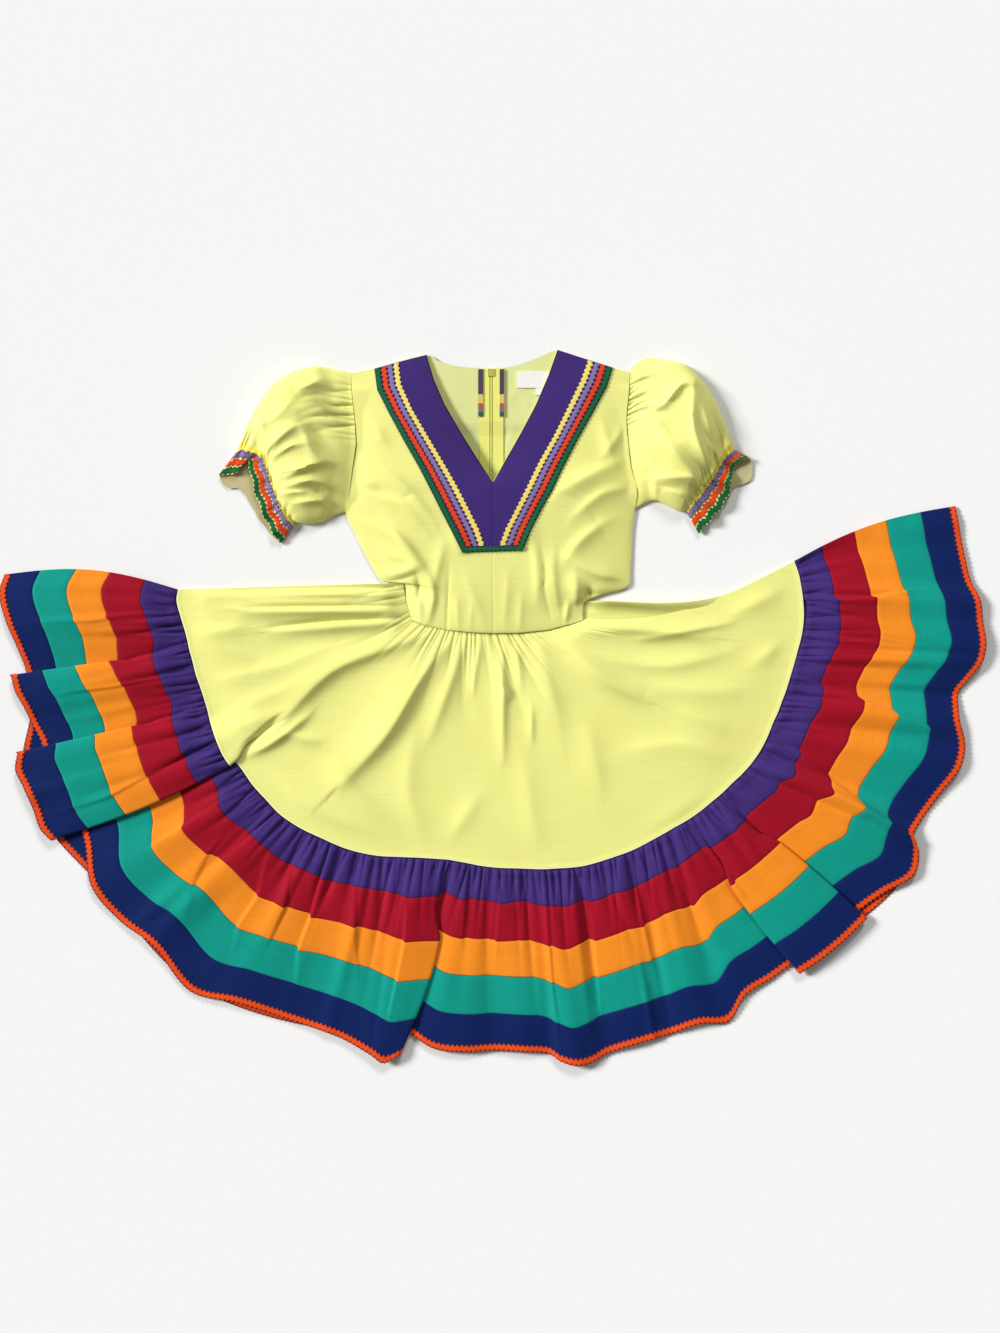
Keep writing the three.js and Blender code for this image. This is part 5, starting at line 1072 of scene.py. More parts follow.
def bodice_surface(sections, side, creases):
    """The points of half a front: a row for each height, a column for each of BODICE_COLUMNS."""
    at = np.linspace(0, len(sections) - 1, (len(sections) - 1) * BODICE_ROWS + 1)
    marks = np.arange(len(sections))
    inner, band, trim, outer = (
        np.array([s[key] for s in sections], float) for key in ("inner", "band", "trim", "outer")
    )
    inner[:, 0] = np.where(inner[:, 0] == CENTRE_X, CENTRE_X + side * SEAM_GAP / 2, inner[:, 0])
    straight = [
        np.column_stack([np.interp(at, marks, line[:, k]) for k in (0, 1)]) for line in (inner, band, trim)
    ]
    soft_outer = smooth_line(outer, at)
    rise = np.array([[*s["z"], s["crown"]] for s in sections], float)
    z_inner, z_outer, crown = smooth_line(rise, at).T[:, :, None]
    h = BODICE_COLUMNS[None, :, None]
    start, edge, row_end, far = (line[:, None, :] for line in (*straight, soft_outer))
    plan = np.where(h <= 1, mix(start, edge, h), np.where(h <= 5, mix(edge, row_end, (h - 1) / 4),
                                                         mix(row_end, far, (h - 5) / 4)))
    share = np.linalg.norm(plan - start, axis=2) / np.linalg.norm(far - start, axis=2)
    swell = np.abs(np.sin(np.pi * np.clip(share * 0.5 + 0.5, 0, 1))) ** 0.6
    open_neck = ramp(at, 7.6, 8.6)[:, None]
    joined_dome = 0.85 * np.cos(np.pi / 2 * np.clip(share, 0, 1) ** 1.6)
    open_dome = np.abs(np.sin(np.pi * np.clip(share, 0, 1))) ** 0.8
    dome = mix(joined_dome, open_dome, open_neck)
    height = mix(z_outer, z_inner, swell) + crown * dome
    low = np.clip(1 - at, 0, 1)[:, None]
    plan[..., 1] = mix(plan[..., 1], waist_height(plan[..., 0]) + 0.6, low)
    fade = 1 - 0.8 * ramp(BODICE_COLUMNS, 8, 9)[None, :]
    height += BODICE_FOLD * crease_height(creases, plan[..., 0], plan[..., 1]) * fade
    armhole = (ramp(at, 6.7, 8) * (1 - ramp(at, 12, 13)))[:, None]
    height = np.maximum(height, mix(LOWEST_BODICE, ARMHOLE_HEIGHT, armhole))
    middle = np.abs(plan[..., 0] - CENTRE_X)
    height -= 0.25 * np.exp(-(middle / 1.1) ** 2) * (1 - ramp(at, 8, 8.6))[:, None]
    return at, np.concatenate([plan, np.maximum(height, LOWEST_BODICE)[..., None]], axis=2)


BODICE = {}
for label, sections, side in (("left", BODICE_LEFT, -1), ("right", BODICE_RIGHT, 1)):
    rows_at, points = bodice_surface(sections, side, BODICE_CREASES[label])
    BODICE[label] = SimpleNamespace(at=rows_at, points=points, normals=surface_normals(points))
    piece = lay_cloth(f"bodice_panel_front_{label}", points, points[..., :2], CLOTH_WALL, [BODICE_COTTON])
    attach(piece, "garment")
    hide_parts(f"bodice_front_{label}")

# Neck band, front: purple cotton facing turned to the outside round the V neck, a left and a right
# length joined below the V. A narrow dark edge runs round the neckline.
BAND_LIFT = 1.35
BAND_WALL = 0.8
BAND_COTTON = cloth_material("purple band cotton", rgb(60, 38, 112), rgb(76, 54, 134), rgb(40, 26, 80),
                             slub=0.3, edges=((None, 0.0014, BLACK_EDGE),))


def read_surface(surface, at, column):
    """Points and normals of a bodice half at any section and any column value."""
    r = np.interp(at, surface.at, np.arange(len(surface.at)))
    c = np.interp(column, BODICE_COLUMNS, np.arange(len(BODICE_COLUMNS)))
    r0 = np.minimum(r.astype(int), len(surface.at) - 2)
    c0 = np.minimum(c.astype(int), len(BODICE_COLUMNS) - 2)
    tr, tc = (r - r0)[..., None], (c - c0)[..., None]
    read = [mix(mix(g[r0, c0], g[r0, c0 + 1], tc), mix(g[r0 + 1, c0], g[r0 + 1, c0 + 1], tc), tr)
            for g in (surface.points, surface.normals)]
    return read[0], read[1] / np.linalg.norm(read[1], axis=-1, keepdims=True)


for label, side in (("left", -1), ("right", 1)):
    at = np.linspace(CROSS_ROW, 13, 90)
    column = np.concatenate([[0.02, 0.06], np.linspace(0.12, 5, 20)])
    grid_at, grid_column = np.meshgrid(at, column, indexing="ij")
    points, normals = read_surface(BODICE[label], grid_at, grid_column)
    lift = np.full(grid_at.shape, BAND_LIFT)
    lift[:, 0], lift[:, -1] = BAND_LIFT - 0.2, BAND_LIFT - 0.35
    points = points + normals * lift[..., None]
    points[:, 0, 0] = np.where(at < 8, CENTRE_X + side * 0.02, points[:, 0, 0])
    across = run_along(points.transpose(1, 0, 2)).T
    joined = 1.2 * (1 - ramp(at, 8.3, 8.6))[:, None]
    cloth = np.stack([run_along(points[:, :1])[:, 0:1] + 0 * across, across + joined], axis=-1)
    piece = lay_cloth(f"neck_facing_front_{label}", points, cloth, BAND_WALL, [BAND_COTTON])
    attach(piece, "garment")
    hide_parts(f"neck_band_front_{label}")

# Rick rack rows, front: yellow, lilac, orange and green side by side on the neck band from the
# shoulder down, and one short green row that closes them off below the V.
ROW_NAMES = ("yellow", "lilac", "orange", "green")
ROW_LIFT = BAND_LIFT + 0.85
CROSS_START = (5.27, 5.27, 5.27, 5.0)
for label, side in (("left", -1), ("right", 1)):
    for k, name in enumerate(ROW_NAMES):
        fine = np.linspace(CROSS_START[k], 12.97, 400)
        centre, _ = read_surface(BODICE[label], fine, np.full(400, 1.5 + k))
        run = run_along(centre)
        steps = braid_steps(run[-1])
        at = np.interp(steps, run, fine)
        low, normals = read_surface(BODICE[label], at, np.full(len(at), 1.0 + k))
        high, _ = read_surface(BODICE[label], at, np.full(len(at), 2.0 + k))
        points, cloth = wavy_strip(low, high, normals, steps, ROW_LIFT, phase=math.pi * (k % 2))
        piece = lay_cloth(f"rickrack_row_{name}_front_{label}", points, cloth, BRAID_WALL, [BRAIDS[name]])
        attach(piece, "garment")
        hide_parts(f"rickrack_{name}_front_{label}")
cross = [read_surface(BODICE[label], np.full(40, 5.0 + t), np.linspace(5, 0, 40) if label == "left"
                      else np.linspace(0, 5, 40)) for t in (0, 0.24) for label in ("left", "right")]
low, high = (np.concatenate([cross[k][0], cross[k + 1][0][1:]]) for k in (0, 2))
rise = np.concatenate([cross[0][1], cross[1][1][1:]])
run = run_along((low + high) / 2)
steps = braid_steps(run[-1])
low, high, rise = (
    np.column_stack([np.interp(steps, run, line[:, k]) for k in range(3)]) for line in (low, high, rise)
)
points, cloth = wavy_strip(low, high, rise, steps, ROW_LIFT + 0.35)
piece = lay_cloth("rickrack_row_green_cross", points, cloth, BRAID_WALL, [BRAIDS["green"]])
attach(piece, "garment")
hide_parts("rickrack_green_cross")

# Bodice, back: two halves that lie flat below, closed by a zip down the middle. Their inside shows
# through the neck, paler and duller, with the facing's line of stitches.
ZIP_X = -4
BAND_ZONE = (382, 402)              # where the cloth climbs onto the neck band below it
BAND_BED = 3.3
BACK_HALVES = {
    "left": dict(
        outer=((-112, 126), (-120, 150), (-124, 178.6), (-153, 181), (-180, 220), (-205, 272), (-199, 303),
               (-195, 336), (-190, 370), (-191, 382), (-193, 402), (-196, 440), (-198.5, 467)),
        inner=ZIP_X - 6, neck=((-10, 476.5), (-35, 477.5), (-60, 481), (-78, 487), (-92, 495))),
    "right": dict(
        outer=((119, 128.5), (121, 147), (145, 161.5), (184, 173), (189, 192), (190, 220), (195, 277),
               (197, 303), (189.5, 336), (185.5, 370), (184, 382), (183, 402), (186, 440), (188, 468)),
        inner=ZIP_X + 6, neck=((2, 476.5), (25, 478.5), (45, 485), (66, 493), (86, 501))),
}
FACING_Y = 412                      # lower edge of the neck facing inside the back
BACK_CREASES_IN = (
    (((-70, 470), (-30, 440)), 0.7, 5, 0), (((60, 480), (20, 430)), 0.7, 5, 0),
    (((-40, 402), (-20, 360)), 0.6, 5, 0), (((30, 400), (15, 350)), 0.6, 5, 0),
    (((-60, 440), (-45, 415)), 0.6, 4, 0), (((40, 440), (50, 416)), 0.6, 4, 0),
)
INSIDE_COTTON = cloth_material("inside of the yellow cotton", rgb(224, 228, 154), rgb(236, 240, 182),
                               rgb(200, 204, 122), slub=0.15, edges=(("seam", 0.0009, rgb(170, 172, 88)),))
BACK_ROWS = 8
for label, half in BACK_HALVES.items():
    outer = np.array(half["outer"], float)
    neck = np.array(half["neck"], float)
    top = smooth_line(np.array([*neck, mix(neck[-1], outer[-1], 0.5), outer[-1]]),
                      np.linspace(0, len(neck) + 1, 44))
    share = np.linalg.norm(top - top[0], axis=1) / np.linalg.norm(outer[-1] - top[0])
    at = np.linspace(0, len(outer) - 1, (len(outer) - 1) * BACK_ROWS + 1)
    edge = smooth_line(outer, at)
    inner_y = edge[:, 1:2].copy()
    x = mix(half["inner"], edge[:, :1], share[None, :])
    y = np.broadcast_to(inner_y, x.shape).copy()
    low, high = np.clip(1 - at, 0, 1)[:, None], np.clip(at - len(outer) + 2, 0, 1)[:, None]
    y = mix(y, waist_height(x) + 1.2, low)
    x, y = mix(x, top[None, :, 0], high), mix(y, top[None, :, 1], high)
    z = mix(BACK_BED, BAND_BED, ramp(y, *BAND_ZONE)) + crease_height(BACK_CREASES_IN, x, y)
    z += 0.5 * np.exp(-((y - FACING_Y) / 1.2) ** 2)
    points = np.stack([x, y, z], axis=-1)
    piece = lay_cloth(f"bodice_panel_back_{label}", points, points[..., :2], CLOTH_WALL,
                      [INSIDE_COTTON, BODICE_COTTON], inside=1, seam=np.abs(y - FACING_Y))
    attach(piece, "garment")
    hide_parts(f"bodice_back_{label}")

# Neck band and rick rack rows, back: on the outside of the bodice back, so below it as it lies.
SHOULDERS = {"left": (-166, 473), "right": (163, 474)}
UNDER_BAND, UNDER_ROWS = 1.85, 0.62  # heights of the band and of its rows below the back
for label, side in (("left", -1), ("right", 1)):
    zip_x, shoulder = ZIP_X + 8 * side, SHOULDERS[label]
    neck = np.array(BACK_HALVES[label]["neck"], float)
    lower = np.array([(zip_x, 408), (mix(zip_x, shoulder[0], 0.3), 410), (mix(zip_x, shoulder[0], 0.6), 424),
                      (mix(zip_x, shoulder[0], 0.86), 450), shoulder], float)
    fine = np.linspace(0, 4, 60)
    upper_line, lower_line = smooth_line(neck, fine), smooth_line(lower, fine)
    shares = np.linspace(0, 1, 14)[:, None, None]
    plan = mix(upper_line[None], lower_line[None], shares)
    points = np.concatenate([plan, np.full((*plan.shape[:2], 1), UNDER_BAND)], axis=-1)
    piece = lay_cloth(f"neck_facing_back_{label}", points, cloth_size(points), BAND_WALL, [BAND_COTTON])
    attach(piece, "garment")
    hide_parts(f"neck_band_back_{label}")
    for k, name in enumerate(ROW_NAMES):
        edges = [mix(upper_line, lower_line, 0.56 + 0.11 * (k + t)) for t in (0, 1)]
        run = run_along((edges[0] + edges[1]) / 2)
        steps = braid_steps(run[-1])
        level = np.full(len(steps), UNDER_ROWS)
        low, high = (
            np.column_stack([*(np.interp(steps, run, line[:, j]) for j in (0, 1)), level]) for line in edges
        )
        down_way = np.broadcast_to(np.array((0.0, 0.0, -1.0)), low.shape)
        points, cloth = wavy_strip(low, high, down_way, steps, -0.1, phase=math.pi * (k % 2))
        piece = lay_cloth(f"rickrack_row_{name}_back_{label}", points, cloth, BRAID_WALL, [BRAIDS[name]])
        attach(piece, "garment")
        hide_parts(f"rickrack_{name}_back_{label}")


# Sleeves: puffed tubes of the yellow cotton, gathered at the head and again by elastic above a
# flared edge. The inside of the flared edge, the wrong side of the yellow cotton, is painted a dull beige as
# painted shade.
SLEEVE_LEFT = (
    dict(top=(-200.6, 470), bottom=(-208.5, 276), height=9, bowFront=8, bowBack=8),
    dict(top=(-222, 475), bottom=(-222, 271), height=24, bowFront=0, bowBack=2),
    dict(top=(-250, 479), bottom=(-240, 263), height=31, bowFront=0, bowBack=0),
    dict(top=(-281, 471), bottom=(-256, 260), height=33, bowFront=0, bowBack=0),
    dict(top=(-306, 457), bottom=(-266, 259.5), height=32, bowFront=0, bowBack=0),
    dict(top=(-328, 428), bottom=(-273, 260.5), height=29, bowFront=0, bowBack=0),
    dict(top=(-345, 395), bottom=(-278, 262), height=23, bowFront=0, bowBack=-3),
    dict(top=(-354, 370), bottom=(-281, 261), height=14, bowFront=4, bowBack=-8),
    dict(top=(-359, 356), bottom=(-283, 257), height=8.5, bowFront=8, bowBack=-10),
    dict(top=(-364, 352), bottom=(-287, 250), height=11, bowFront=9, bowBack=-12),
    dict(top=(-368, 350), bottom=(-293, 241), height=14, bowFront=7, bowBack=-17),
    dict(top=(-370, 347), bottom=(-299, 232.5), height=17, bowFront=4, bowBack=-22),
)
SLEEVE_RIGHT = (
    dict(top=(190.6, 477), bottom=(201, 281), height=9, bowFront=-9, bowBack=-9),
    dict(top=(213, 490.5), bottom=(213, 288.5), height=24, bowFront=-2, bowBack=-4),
    dict(top=(240, 488), bottom=(226, 292), height=31, bowFront=0, bowBack=0),
    dict(top=(266, 481), bottom=(238, 287), height=33, bowFront=0, bowBack=0),
    dict(top=(286, 464), bottom=(249, 281), height=32, bowFront=0, bowBack=0),
    dict(top=(305, 438), bottom=(259, 276), height=29, bowFront=0, bowBack=0),
    dict(top=(322, 404), bottom=(265, 272), height=23, bowFront=0, bowBack=2),
    dict(top=(333, 376), bottom=(269, 269), height=14, bowFront=-3, bowBack=7),
    dict(top=(339, 361), bottom=(272, 265), height=8.5, bowFront=-5, bowBack=10),
    dict(top=(344, 358), bottom=(276, 259), height=11, bowFront=-3, bowBack=12),
    dict(top=(349, 355), bottom=(281, 253), height=14, bowFront=3, bowBack=15),
    dict(top=(353, 351), bottom=(287, 246.5), height=17, bowFront=9, bowBack=17),
)
ELASTIC = 8                         # the section drawn in by elastic
EDGE_HEIGHT = 2.6
CUFF_BED = 1.45
RIM_HEIGHT = 7.3
UPPER_TURNS, LOWER_TURNS = 132, 32
# Flared edge: places round it from its upper corner to its tip, each with the elastic line, the
# front rim and the back rim there.
CUFF_LEFT = (
    dict(along=0.00, elastic=(-360, 357), rim=(-384, 326), back=(-384, 326)),
    dict(along=0.08, elastic=(-354, 362), rim=(-372, 327), back=(-380, 315)),
    dict(along=0.15, elastic=(-341, 360), rim=(-358, 332), back=(-370, 309)),
    dict(along=0.22, elastic=(-326, 352), rim=(-346, 347), back=(-360, 309)),
    dict(along=0.32, elastic=(-318, 337), rim=(-341, 334), back=(-352, 304)),
    dict(along=0.50, elastic=(-309, 310), rim=(-334, 303), back=(-342, 289)),
    dict(along=0.75, elastic=(-295, 275), rim=(-318, 262), back=(-326, 262)),
    dict(along=1.00, elastic=(-281, 257), rim=(-300, 231), back=(-300, 231)),
)
CUFF_RIGHT = (
    dict(along=0.00, elastic=(336, 362), rim=(360, 347), back=(360, 347)),
    dict(along=0.08, elastic=(330, 358), rim=(353, 351), back=(361, 334)),
    dict(along=0.15, elastic=(323, 351), rim=(342, 344), back=(359, 320)),
    dict(along=0.22, elastic=(317, 342), rim=(333, 331), back=(350, 315)),
    dict(along=0.32, elastic=(309, 328), rim=(332, 320), back=(338, 312)),
    dict(along=0.50, elastic=(298, 312), rim=(326, 296), back=(328, 296)),
    dict(along=0.75, elastic=(284, 293), rim=(306, 268), back=(308, 270)),
    dict(along=1.00, elastic=(270, 276), rim=(287, 247), back=(287, 247)),
)
SLEEVE_CREASES = {
    "left": (
        (((-303, 459), (-263, 436), (-238, 418), (-206, 387)), 7.5, 14, -0.35),
        (((-268, 445), (-241, 458), (-217, 456)), 4, 7, 0.3), (((-241, 421), (-206, 423)), 3, 5, 0),
        (((-236, 440), (-206, 436)), 2.4, 4, 0), (((-230, 470), (-208, 460)), 2.5, 5, 0),
        (((-322, 354), (-279, 391), (-266, 394)), 5.5, 12, -0.3),
        (((-266, 394), (-250, 356), (-240, 348)), 4, 10, 0.3),
        (((-288, 323), (-244, 342), (-206, 342)), 6, 9, -0.4),
        (((-288, 309), (-252, 317), (-206, 299)), 5, 8, -0.3),
        (((-278, 286), (-240, 290), (-212, 286)), 4, 7, -0.2),
        (((-262, 398), (-230, 372), (-206, 352)), -3.5, 13, 0),
        (((-262, 442), (-225, 430), (-206, 408)), -3.5, 9, 0), (((-330, 420), (-318, 380)), 3, 9, 0.2),
        (((-306, 350), (-280, 365), (-262, 368)), 3, 6, -0.3), (((-250, 305), (-225, 292)), -3, 6, 0),
        (((-300, 330), (-268, 333)), 2.4, 4, -0.3), (((-300, 300), (-262, 302)), 2.6, 4, 0.3),
        (((-215, 380), (-206, 300)), 2, 6, 0), (((-330, 395), (-300, 408), (-280, 432)), 2.4, 8, 0.2),
    ),
    "right": (
        (((193, 473), (228, 482), (268, 477), (280, 466)), 4.5, 8, 0.3),
        (((278, 452), (262, 452), (236, 424), (206, 408)), 6, 9, 0.35),
        (((201, 405), (236, 368), (286, 318)), 8, 16, -0.4),
        (((278, 458), (276, 391), (296, 344), (306, 324)), 5.5, 11, -0.35),
        (((318, 386), (326, 366), (318, 345)), 3, 6, -0.2),
        (((199, 321), (236, 322), (275, 320), (286, 307)), 5.5, 9, 0.4),
        (((217, 317), (228, 302)), 3, 5, 0), (((235, 310), (262, 296), (270, 288)), 3, 6, 0.2),
        (((212, 450), (250, 446)), -4, 13, 0), (((232, 400), (262, 372)), -3.5, 12, 0),
        (((222, 312), (262, 306)), -2.5, 7, 0), (((203, 436), (228, 442), (244, 452)), 2.4, 4, 0),
        (((203, 420), (226, 430)), 2.6, 4, 0), (((206, 380), (222, 356), (214, 336)), 2.6, 6, 0.2),
        (((296, 372), (312, 352)), 2.4, 5, 0), (((290, 420), (304, 380)), 2.4, 7, 0.2),
        (((196, 345), (222, 334)), 2, 5, 0),
    ),
}
SLEEVE_FOLD = 1.7                   # how much deeper the folds are than listed
SLEEVE_CREST = 0.2                  # roundness of their crests
HEAD_RISE = (0.6, 0.92, 4)         # shares of the height at the armhole and from the last named section on
# A deeper yellow is painted in a band round the elastic. It is painted shade, for the deep yellow that light
# takes in the hollows of the puckers.
PUCKER_SHADE_YELLOW = rgb(238, 222, 96)
SLEEVE_COTTON = cloth_material("yellow sleeve cotton", YELLOW, edges=(("seam", 0.006, PUCKER_SHADE_YELLOW),),
                               **yellow_words)
# Inside of the flare: the wrong side of the yellow cotton, painted a dull beige as painted shade.
SHADED_FLARE_INSIDE = cloth_material("flare inside with painted shade", rgb(196, 186, 138), rgb(214, 206, 164),
                              rgb(158, 146, 96), slub=0.3)


def armhole_line(sections, side):
    edge = np.array([s["outer"] for s in sections[7:]], float)
    return lambda y: np.interp(y, edge[:, 1], edge[:, 0]) + side * 0.8


def cuff_lines(cuff, along):
    """The elastic line, the front rim and the back rim at each share of the way round."""
    at = np.interp(along, [row["along"] for row in cuff], range(len(cuff)))
    return [
        smooth_line(np.array([row[key] for row in cuff], float), at) for key in ("elastic", "rim", "back")
    ]


def sleeve_surface(sections, cuff, creases, armhole, seed):
    """Rings of the sleeve from the armhole to the edge: an arc over the top, then back below."""
    spread = np.random.default_rng(seed)
    marks = np.array([
        [*s["top"], *s["bottom"], s["height"], s["bowFront"], s["bowBack"]] for s in sections
    ], float)
    places = np.concatenate([np.linspace(0, 7, 52)[:-1], np.linspace(7, 11, 33)])
    rings = smooth_line(marks, places)
    turn = np.concatenate([
        np.linspace(0, np.pi, UPPER_TURNS)[:-1], np.linspace(np.pi, 2 * np.pi, LOWER_TURNS),
    ])
    upper = (turn <= np.pi)[None, :]
    i, angle = places[:, None], turn[None, :]
    swell = np.abs(np.sin(angle))
    even = 1 - ramp(i, 1, 2)
    round_way = (1 - np.cos(angle)) / 2
    along = np.where(upper, mix(round_way, angle / np.pi, even), round_way)
    top, bottom = rings[:, None, 0:2], rings[:, None, 2:4]
    way = (bottom - top) / np.linalg.norm(bottom - top, axis=2, keepdims=True)
    bow = np.where(upper, rings[:, 5:6], rings[:, 6:7]) * np.sin(np.pi * along)
    beside = np.stack([-way[..., 1], way[..., 0]], axis=-1)
    plan = mix(top, bottom, along[..., None]) + beside * bow[..., None]
    plan[..., 0] += (armhole(plan[0, :, 1]) - plan[0, :, 0])[None, :] * np.clip(1 - i, 0, 1) ** 2
    elastic, rim, back = cuff_lines(cuff, round_way[0])
    edge = np.where(upper[0][:, None], rim, back)
    flare = np.clip((i - ELASTIC) / 3, 0, 1)[..., None]
    zigzag = 1.5 * np.sin(round_way[0] * 34 + seed) * np.where(upper[0], 1, 0.3)
    out = (edge - elastic) / np.linalg.norm(edge - elastic, axis=1, keepdims=True)
    cuff_plan = elastic + (edge - elastic) * flare + (out * zigzag[:, None]) * np.minimum(1, flare * 3)
    drawn_in = elastic - plan[places == ELASTIC][0]
    drawn_plan = plan + drawn_in * ramp(i, 4.2, ELASTIC)[..., None]
    plan = np.where((i < ELASTIC)[..., None], drawn_plan, cuff_plan)
    before_elastic = 0.25 * ramp(i, 5, 7) * (1 - ramp(i, 7.5, 8))
    head = mix(*HEAD_RISE[:2], ramp(i, 0.3, HEAD_RISE[2])) * (1 - before_elastic)
    crest = np.maximum(rings[:, 4:5] * head, ARMHOLE_HEIGHT - 1.5)
    crest = np.where(i > ELASTIC, RIM_HEIGHT, crest)
    height = np.where(upper, mix(EDGE_HEIGHT, crest, swell ** mix(0.45, 0.75, ramp(i, 0, 2))),
                      mix(EDGE_HEIGHT, BACK_BED, np.minimum(1, swell * 1.7)))
    relief = SLEEVE_FOLD * crease_height(creases, plan[..., 0], plan[..., 1], SLEEVE_CREST)
    relief = relief * (1 - ramp(i, ELASTIC - 0.9, ELASTIC)) * ramp(i, 0.1, 3)
    for place in np.arange(0.02, 0.52, 0.036):
        depth, reach = spread.uniform(3.0, 6.5), spread.uniform(0.9, 3.0)
        width = spread.uniform(0.009, 0.015)
        depth *= 1 - 0.8 * ramp(place, 0.3, 0.52)
        across = np.abs(along - place - spread.uniform(-0.02, 0.03) * i) / (width * (1 + 0.6 * i))
        relief += (0.04 - np.exp(-1.2 * across)) * depth * np.exp(-(i / reach) ** 2) * ramp(i, -0.5, 0.3)
    pucker = np.zeros(relief.shape)
    for place in np.arange(0.012, 1, 0.034):
        depth, reach = spread.uniform(2.4, 5.6), spread.uniform(0.6, 2.6)
        width = spread.uniform(0.009, 0.014)
        place += spread.uniform(-0.01, 0.01)
        far = np.where(i > ELASTIC, 1.0, reach)
        across = np.abs(along - place - spread.uniform(-0.02, 0.02) * (i - ELASTIC)) / width
        dip = 0.03 - np.exp(-1.2 * across / (1 + 0.5 * np.abs(i - ELASTIC)))
        pucker += dip * depth * np.exp(-((i - ELASTIC) / far) ** 2)
    relief += pucker + 1.5 * np.exp(-((i - ELASTIC) / 1.2) ** 2) + 1.5 * np.exp(-(i / 1.5) ** 2)
    pushed_out = pucker * 1.1 * ramp(i, ELASTIC - 2.5, ELASTIC - 0.5)
    pushed_out = pushed_out * (1 - ramp(i, ELASTIC - 0.3, ELASTIC))
    plan += out[None] * pushed_out[..., None]
    relief += 1.4 * np.exp(-((i - ELASTIC + 0.5) / 0.4) ** 2) + 0.8 * ramp(i, ELASTIC + 0.4, 10)
    relief += 2.0 * np.sin(along * 27 + seed) * ramp(i, ELASTIC + 0.6, 11)
    relief -= 2.5 * np.exp(-((along - 0.2) / 0.035) ** 2) * ramp(i, ELASTIC - 0.6, ELASTIC + 1)
    height = height + np.where(upper, relief * np.minimum(1, swell * 1.6), 0)
    height += CUFF_BED * ramp(i, ELASTIC - 0.6, ELASTIC)
    height = np.where(upper, np.maximum(height, EDGE_HEIGHT - 0.3), height)
    points = np.concatenate([plan, height[..., None]], axis=-1)
    points[:, -1] = points[:, 0]
    return places, points


CUFF_ROWS = ("lilac", "orange", "green")
CUFF_LIFT = 0.95
for label, sections, cuff, side, body in (("left", SLEEVE_LEFT, CUFF_LEFT, -1, BODICE_LEFT),
                                          ("right", SLEEVE_RIGHT, CUFF_RIGHT, 1, BODICE_RIGHT)):
    armhole = armhole_line(body, side)
    places, points = sleeve_surface(sections, cuff, SLEEVE_CREASES[label], armhole, 4 + side)
    materials = [SLEEVE_COTTON, SHADED_FLARE_INSIDE]
    from_head = run_along(points).mean(axis=1)
    band_ring = np.argmin(np.abs(places - ELASTIC + 0.3))
    from_elastic = np.broadcast_to(np.abs(from_head - from_head[band_ring])[:, None], points.shape[:2])
    piece = lay_cloth(f"puff_sleeve_{label}", points, cloth_size(points), CLOTH_WALL, materials,
                      inside=1, ring=True, seam=from_elastic)
    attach(piece, "garment")
    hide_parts(f"sleeve_{label}")
    normals = surface_normals(points)
    if normals[:, 5: UPPER_TURNS - 5, 2].sum() < 0:
        normals = -normals
    for k, name in enumerate(CUFF_ROWS):
        rings = []
        for at in (ELASTIC + k + 0.04, ELASTIC + k + 0.98):
            r = np.interp(at, places, np.arange(len(places)))
            r0, t = int(r), r - int(r)
            rings.append([mix(g[r0], g[r0 + 1], t) for g in (points, normals)])
        run = run_along((rings[0][0] + rings[1][0]) / 2)
        steps = braid_steps(run[-1])
        low, high, rise = (np.column_stack([np.interp(steps, run, line[:, j]) for j in range(3)])
                           for line in (rings[0][0], rings[1][0], rings[0][1] + rings[1][1]))
        rise /= np.linalg.norm(rise, axis=1, keepdims=True)
        rise[-1] = rise[0]
        strip, cloth = wavy_strip(low, high, rise, steps, CUFF_LIFT, phase=math.pi * (k % 2))
        piece = lay_cloth(f"rickrack_row_{name}_sleeve_{label}", strip, cloth, BRAID_WALL, [BRAIDS[name]],
                          ring=True)
        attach(piece, "garment")
        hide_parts(f"rickrack_{name}_sleeve_{label}")


# Zip: woven tapes stitched down inside the centre back, a nylon coil whose two rows of loops mesh,
# and a closed slider with its pull tab, enamelled yellow, which hangs on the outside of the back.
TAPE_COTTON = cloth_material("zip tape", rgb(238, 238, 128), rgb(246, 246, 160), rgb(206, 204, 86), slub=0.15,
                             threads=3400.0, where="Object")
for label in ("left", "right"):
    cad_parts[f"zip_tape_{label}"].data.materials.clear()
    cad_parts[f"zip_tape_{label}"].data.materials.append(TAPE_COTTON)
COIL_PITCH = 1.6
COIL_FROM, COIL_TOP = 119, 471
COIL_LIFT = 1.45
LOOP_RADIUS, LOOP_LENGTH = 0.6, 2.3
bpy.ops.object.select_all(action="DESELECT")
bpy.ops.mesh.primitive_cylinder_add(
    vertices=8, radius=LOOP_RADIUS * MM, depth=LOOP_LENGTH * MM, rotation=(0, math.pi / 2, 0),
    location=((ZIP_X - 0.75) * MM, COIL_FROM * MM, COIL_LIFT * MM + BACK_BED * MM),
)
bpy.ops.object.mode_set(mode="EDIT")
bpy.ops.mesh.select_all(action="SELECT")
bpy.ops.mesh.duplicate()
bpy.ops.transform.translate(value=(1.5 * MM, COIL_PITCH / 2 * MM, 0))
bpy.ops.object.mode_set(mode="OBJECT")
coil = bpy.context.active_object
coil.name = coil.data.name = "zip_loops"
bpy.ops.object.transform_apply(location=True, rotation=True)
repeat = coil.modifiers.new("repeat", "ARRAY")
repeat.count = round((COIL_TOP - COIL_FROM) / COIL_PITCH)
repeat.use_relative_offset = False
repeat.use_constant_offset = True
repeat.constant_offset_displace = (0, COIL_PITCH * MM, 0)
bpy.ops.object.modifier_apply(modifier="repeat")
loops = np.empty(len(coil.data.vertices) * 3)
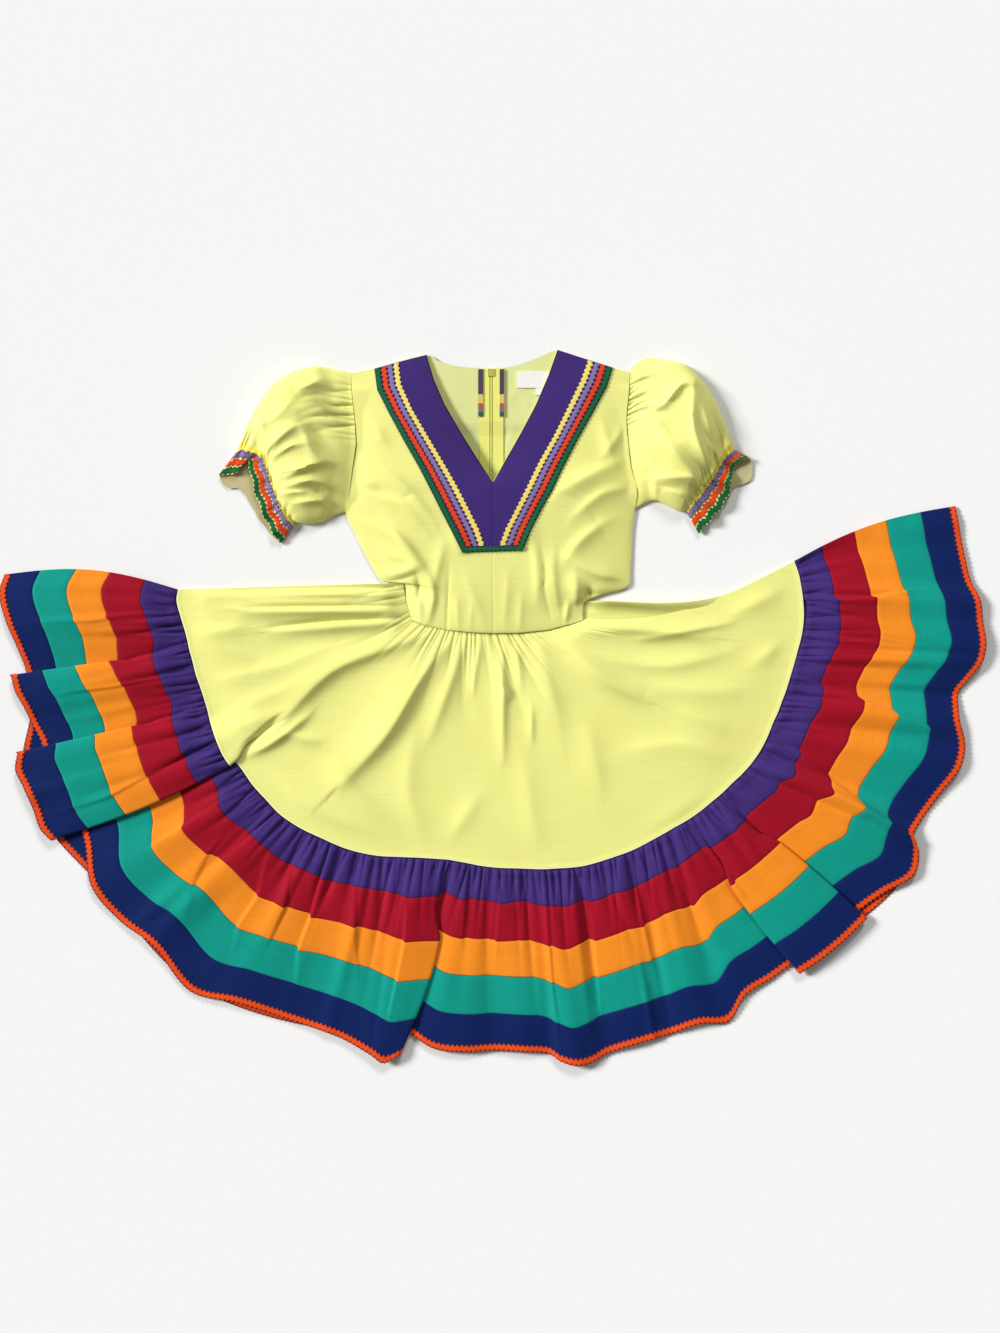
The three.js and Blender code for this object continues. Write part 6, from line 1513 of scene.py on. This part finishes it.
coil.data.vertices.foreach_get("co", loops)
loops = loops.reshape(-1, 3)
loops[:, 2] += (BAND_BED - BACK_BED) * MM * ramp(loops[:, 1] / MM, *BAND_ZONE)
coil.data.vertices.foreach_set("co", loops.ravel())
bpy.ops.object.shade_smooth_by_angle(angle=math.radians(50))


def plain_material(name, base, worn, roughness, metallic, scale):
    """Enamel, nylon or label cloth with a fine uneven grain."""
    material = bpy.data.materials.new(name)
    material.use_nodes = True
    tree = material.node_tree
    look = tree.nodes["Principled BSDF"]
    place = tree.nodes.new("ShaderNodeTexCoord")
    grain = add_node(tree, "ShaderNodeTexNoise", Vector=place.outputs["Object"], Scale=scale, Detail=4.0)
    share = add_node(tree, "ShaderNodeMapRange", i0=grain.outputs["Fac"], i1=0.4, i2=0.7, i3=0.0, i4=1.0)
    color = add_node(tree, "ShaderNodeMix", dict(data_type="RGBA"), i0=share.outputs[0], i6=base, i7=worn)
    tree.links.new(color.outputs[2], look.inputs["Base Color"])
    rough = add_node(tree, "ShaderNodeMapRange", i0=grain.outputs["Fac"], i1=0.3, i2=0.7,
                     i3=roughness - 0.08, i4=roughness + 0.1)
    tree.links.new(rough.outputs[0], look.inputs["Roughness"])
    rise = add_node(tree, "ShaderNodeBump", Strength=0.2, Distance=0.0002, Height=grain.outputs["Fac"])
    tree.links.new(rise.outputs[0], look.inputs["Normal"])
    look.inputs["Metallic"].default_value = metallic
    return material


NYLON = plain_material("nylon coil", rgb(244, 242, 130), rgb(226, 222, 96), 0.45, 0.0, 900)
coil.data.materials.append(NYLON)
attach(coil, "garment")
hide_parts("zip_coil")
ENAMEL = plain_material("yellow enamel", rgb(222, 214, 70), rgb(198, 190, 96), 0.35, 0.35, 420)
for node in ("zip_slider", "zip_pull_tab"):
    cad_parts[node].data.materials.clear()
    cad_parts[node].data.materials.append(ENAMEL)

# Labels: a woven label and a small size tab, both blank, sewn inside the back neck.
LABEL_SATIN = cloth_material("label satin", rgb(244, 243, 238), rgb(255, 255, 252), rgb(216, 214, 206),
                             slub=0.25, threads=4200.0, roughness=0.5, where="Object")
for node in ("neck_label", "size_tab"):
    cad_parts[node].data.materials.clear()
    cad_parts[node].data.materials.append(LABEL_SATIN)


# Trim ends: the ends of the neck band and its rows, turned in beside the zip, so their colours
# follow each other down the strip.
TRIM_BANDS = (
    (440, rgb(74, 58, 84)), (427.5, rgb(238, 222, 110)), (421, rgb(214, 84, 40)),
    (415, rgb(132, 112, 150)), (0, rgb(30, 96, 58)),
)
trim_ends = bpy.data.materials.new("turned in trim ends")
trim_ends.use_nodes = True
trim_tree = trim_ends.node_tree
trim_place = trim_tree.nodes.new("ShaderNodeTexCoord")
trim_y = add_node(trim_tree, "ShaderNodeSeparateXYZ", i0=trim_place.outputs["Object"]).outputs[1]
trim_fuzz = add_node(trim_tree, "ShaderNodeTexNoise", Vector=trim_place.outputs["Object"],
                     Scale=650.0, Detail=2.0)
trim_edge = math_node(trim_tree, "MULTIPLY_ADD", trim_fuzz.outputs["Fac"], 0.003, trim_y)
trim_color = TRIM_BANDS[-1][1]
for low_y, band_color in reversed(TRIM_BANDS[:-1]):
    above = math_node(trim_tree, "GREATER_THAN", trim_edge, (low_y + 1.5) * MM)
    trim_color = add_node(trim_tree, "ShaderNodeMix", dict(data_type="RGBA"), i0=above, i6=trim_color,
                          i7=band_color).outputs[2]
trim_dark = math_node(trim_tree, "MULTIPLY", trim_fuzz.outputs["Fac"], 0.5)
trim_mixed = add_node(trim_tree, "ShaderNodeMix", dict(data_type="RGBA"), i0=trim_dark, i6=trim_color,
                      i7=rgb(60, 46, 60)).outputs[2]
trim_look = trim_tree.nodes["Principled BSDF"]
trim_tree.links.new(trim_mixed, trim_look.inputs["Base Color"])
trim_look.inputs["Roughness"].default_value = 0.8
for label in ("left", "right"):
    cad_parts[f"trim_end_{label}"].data.materials.clear()
    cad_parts[f"trim_end_{label}"].data.materials.append(trim_ends)
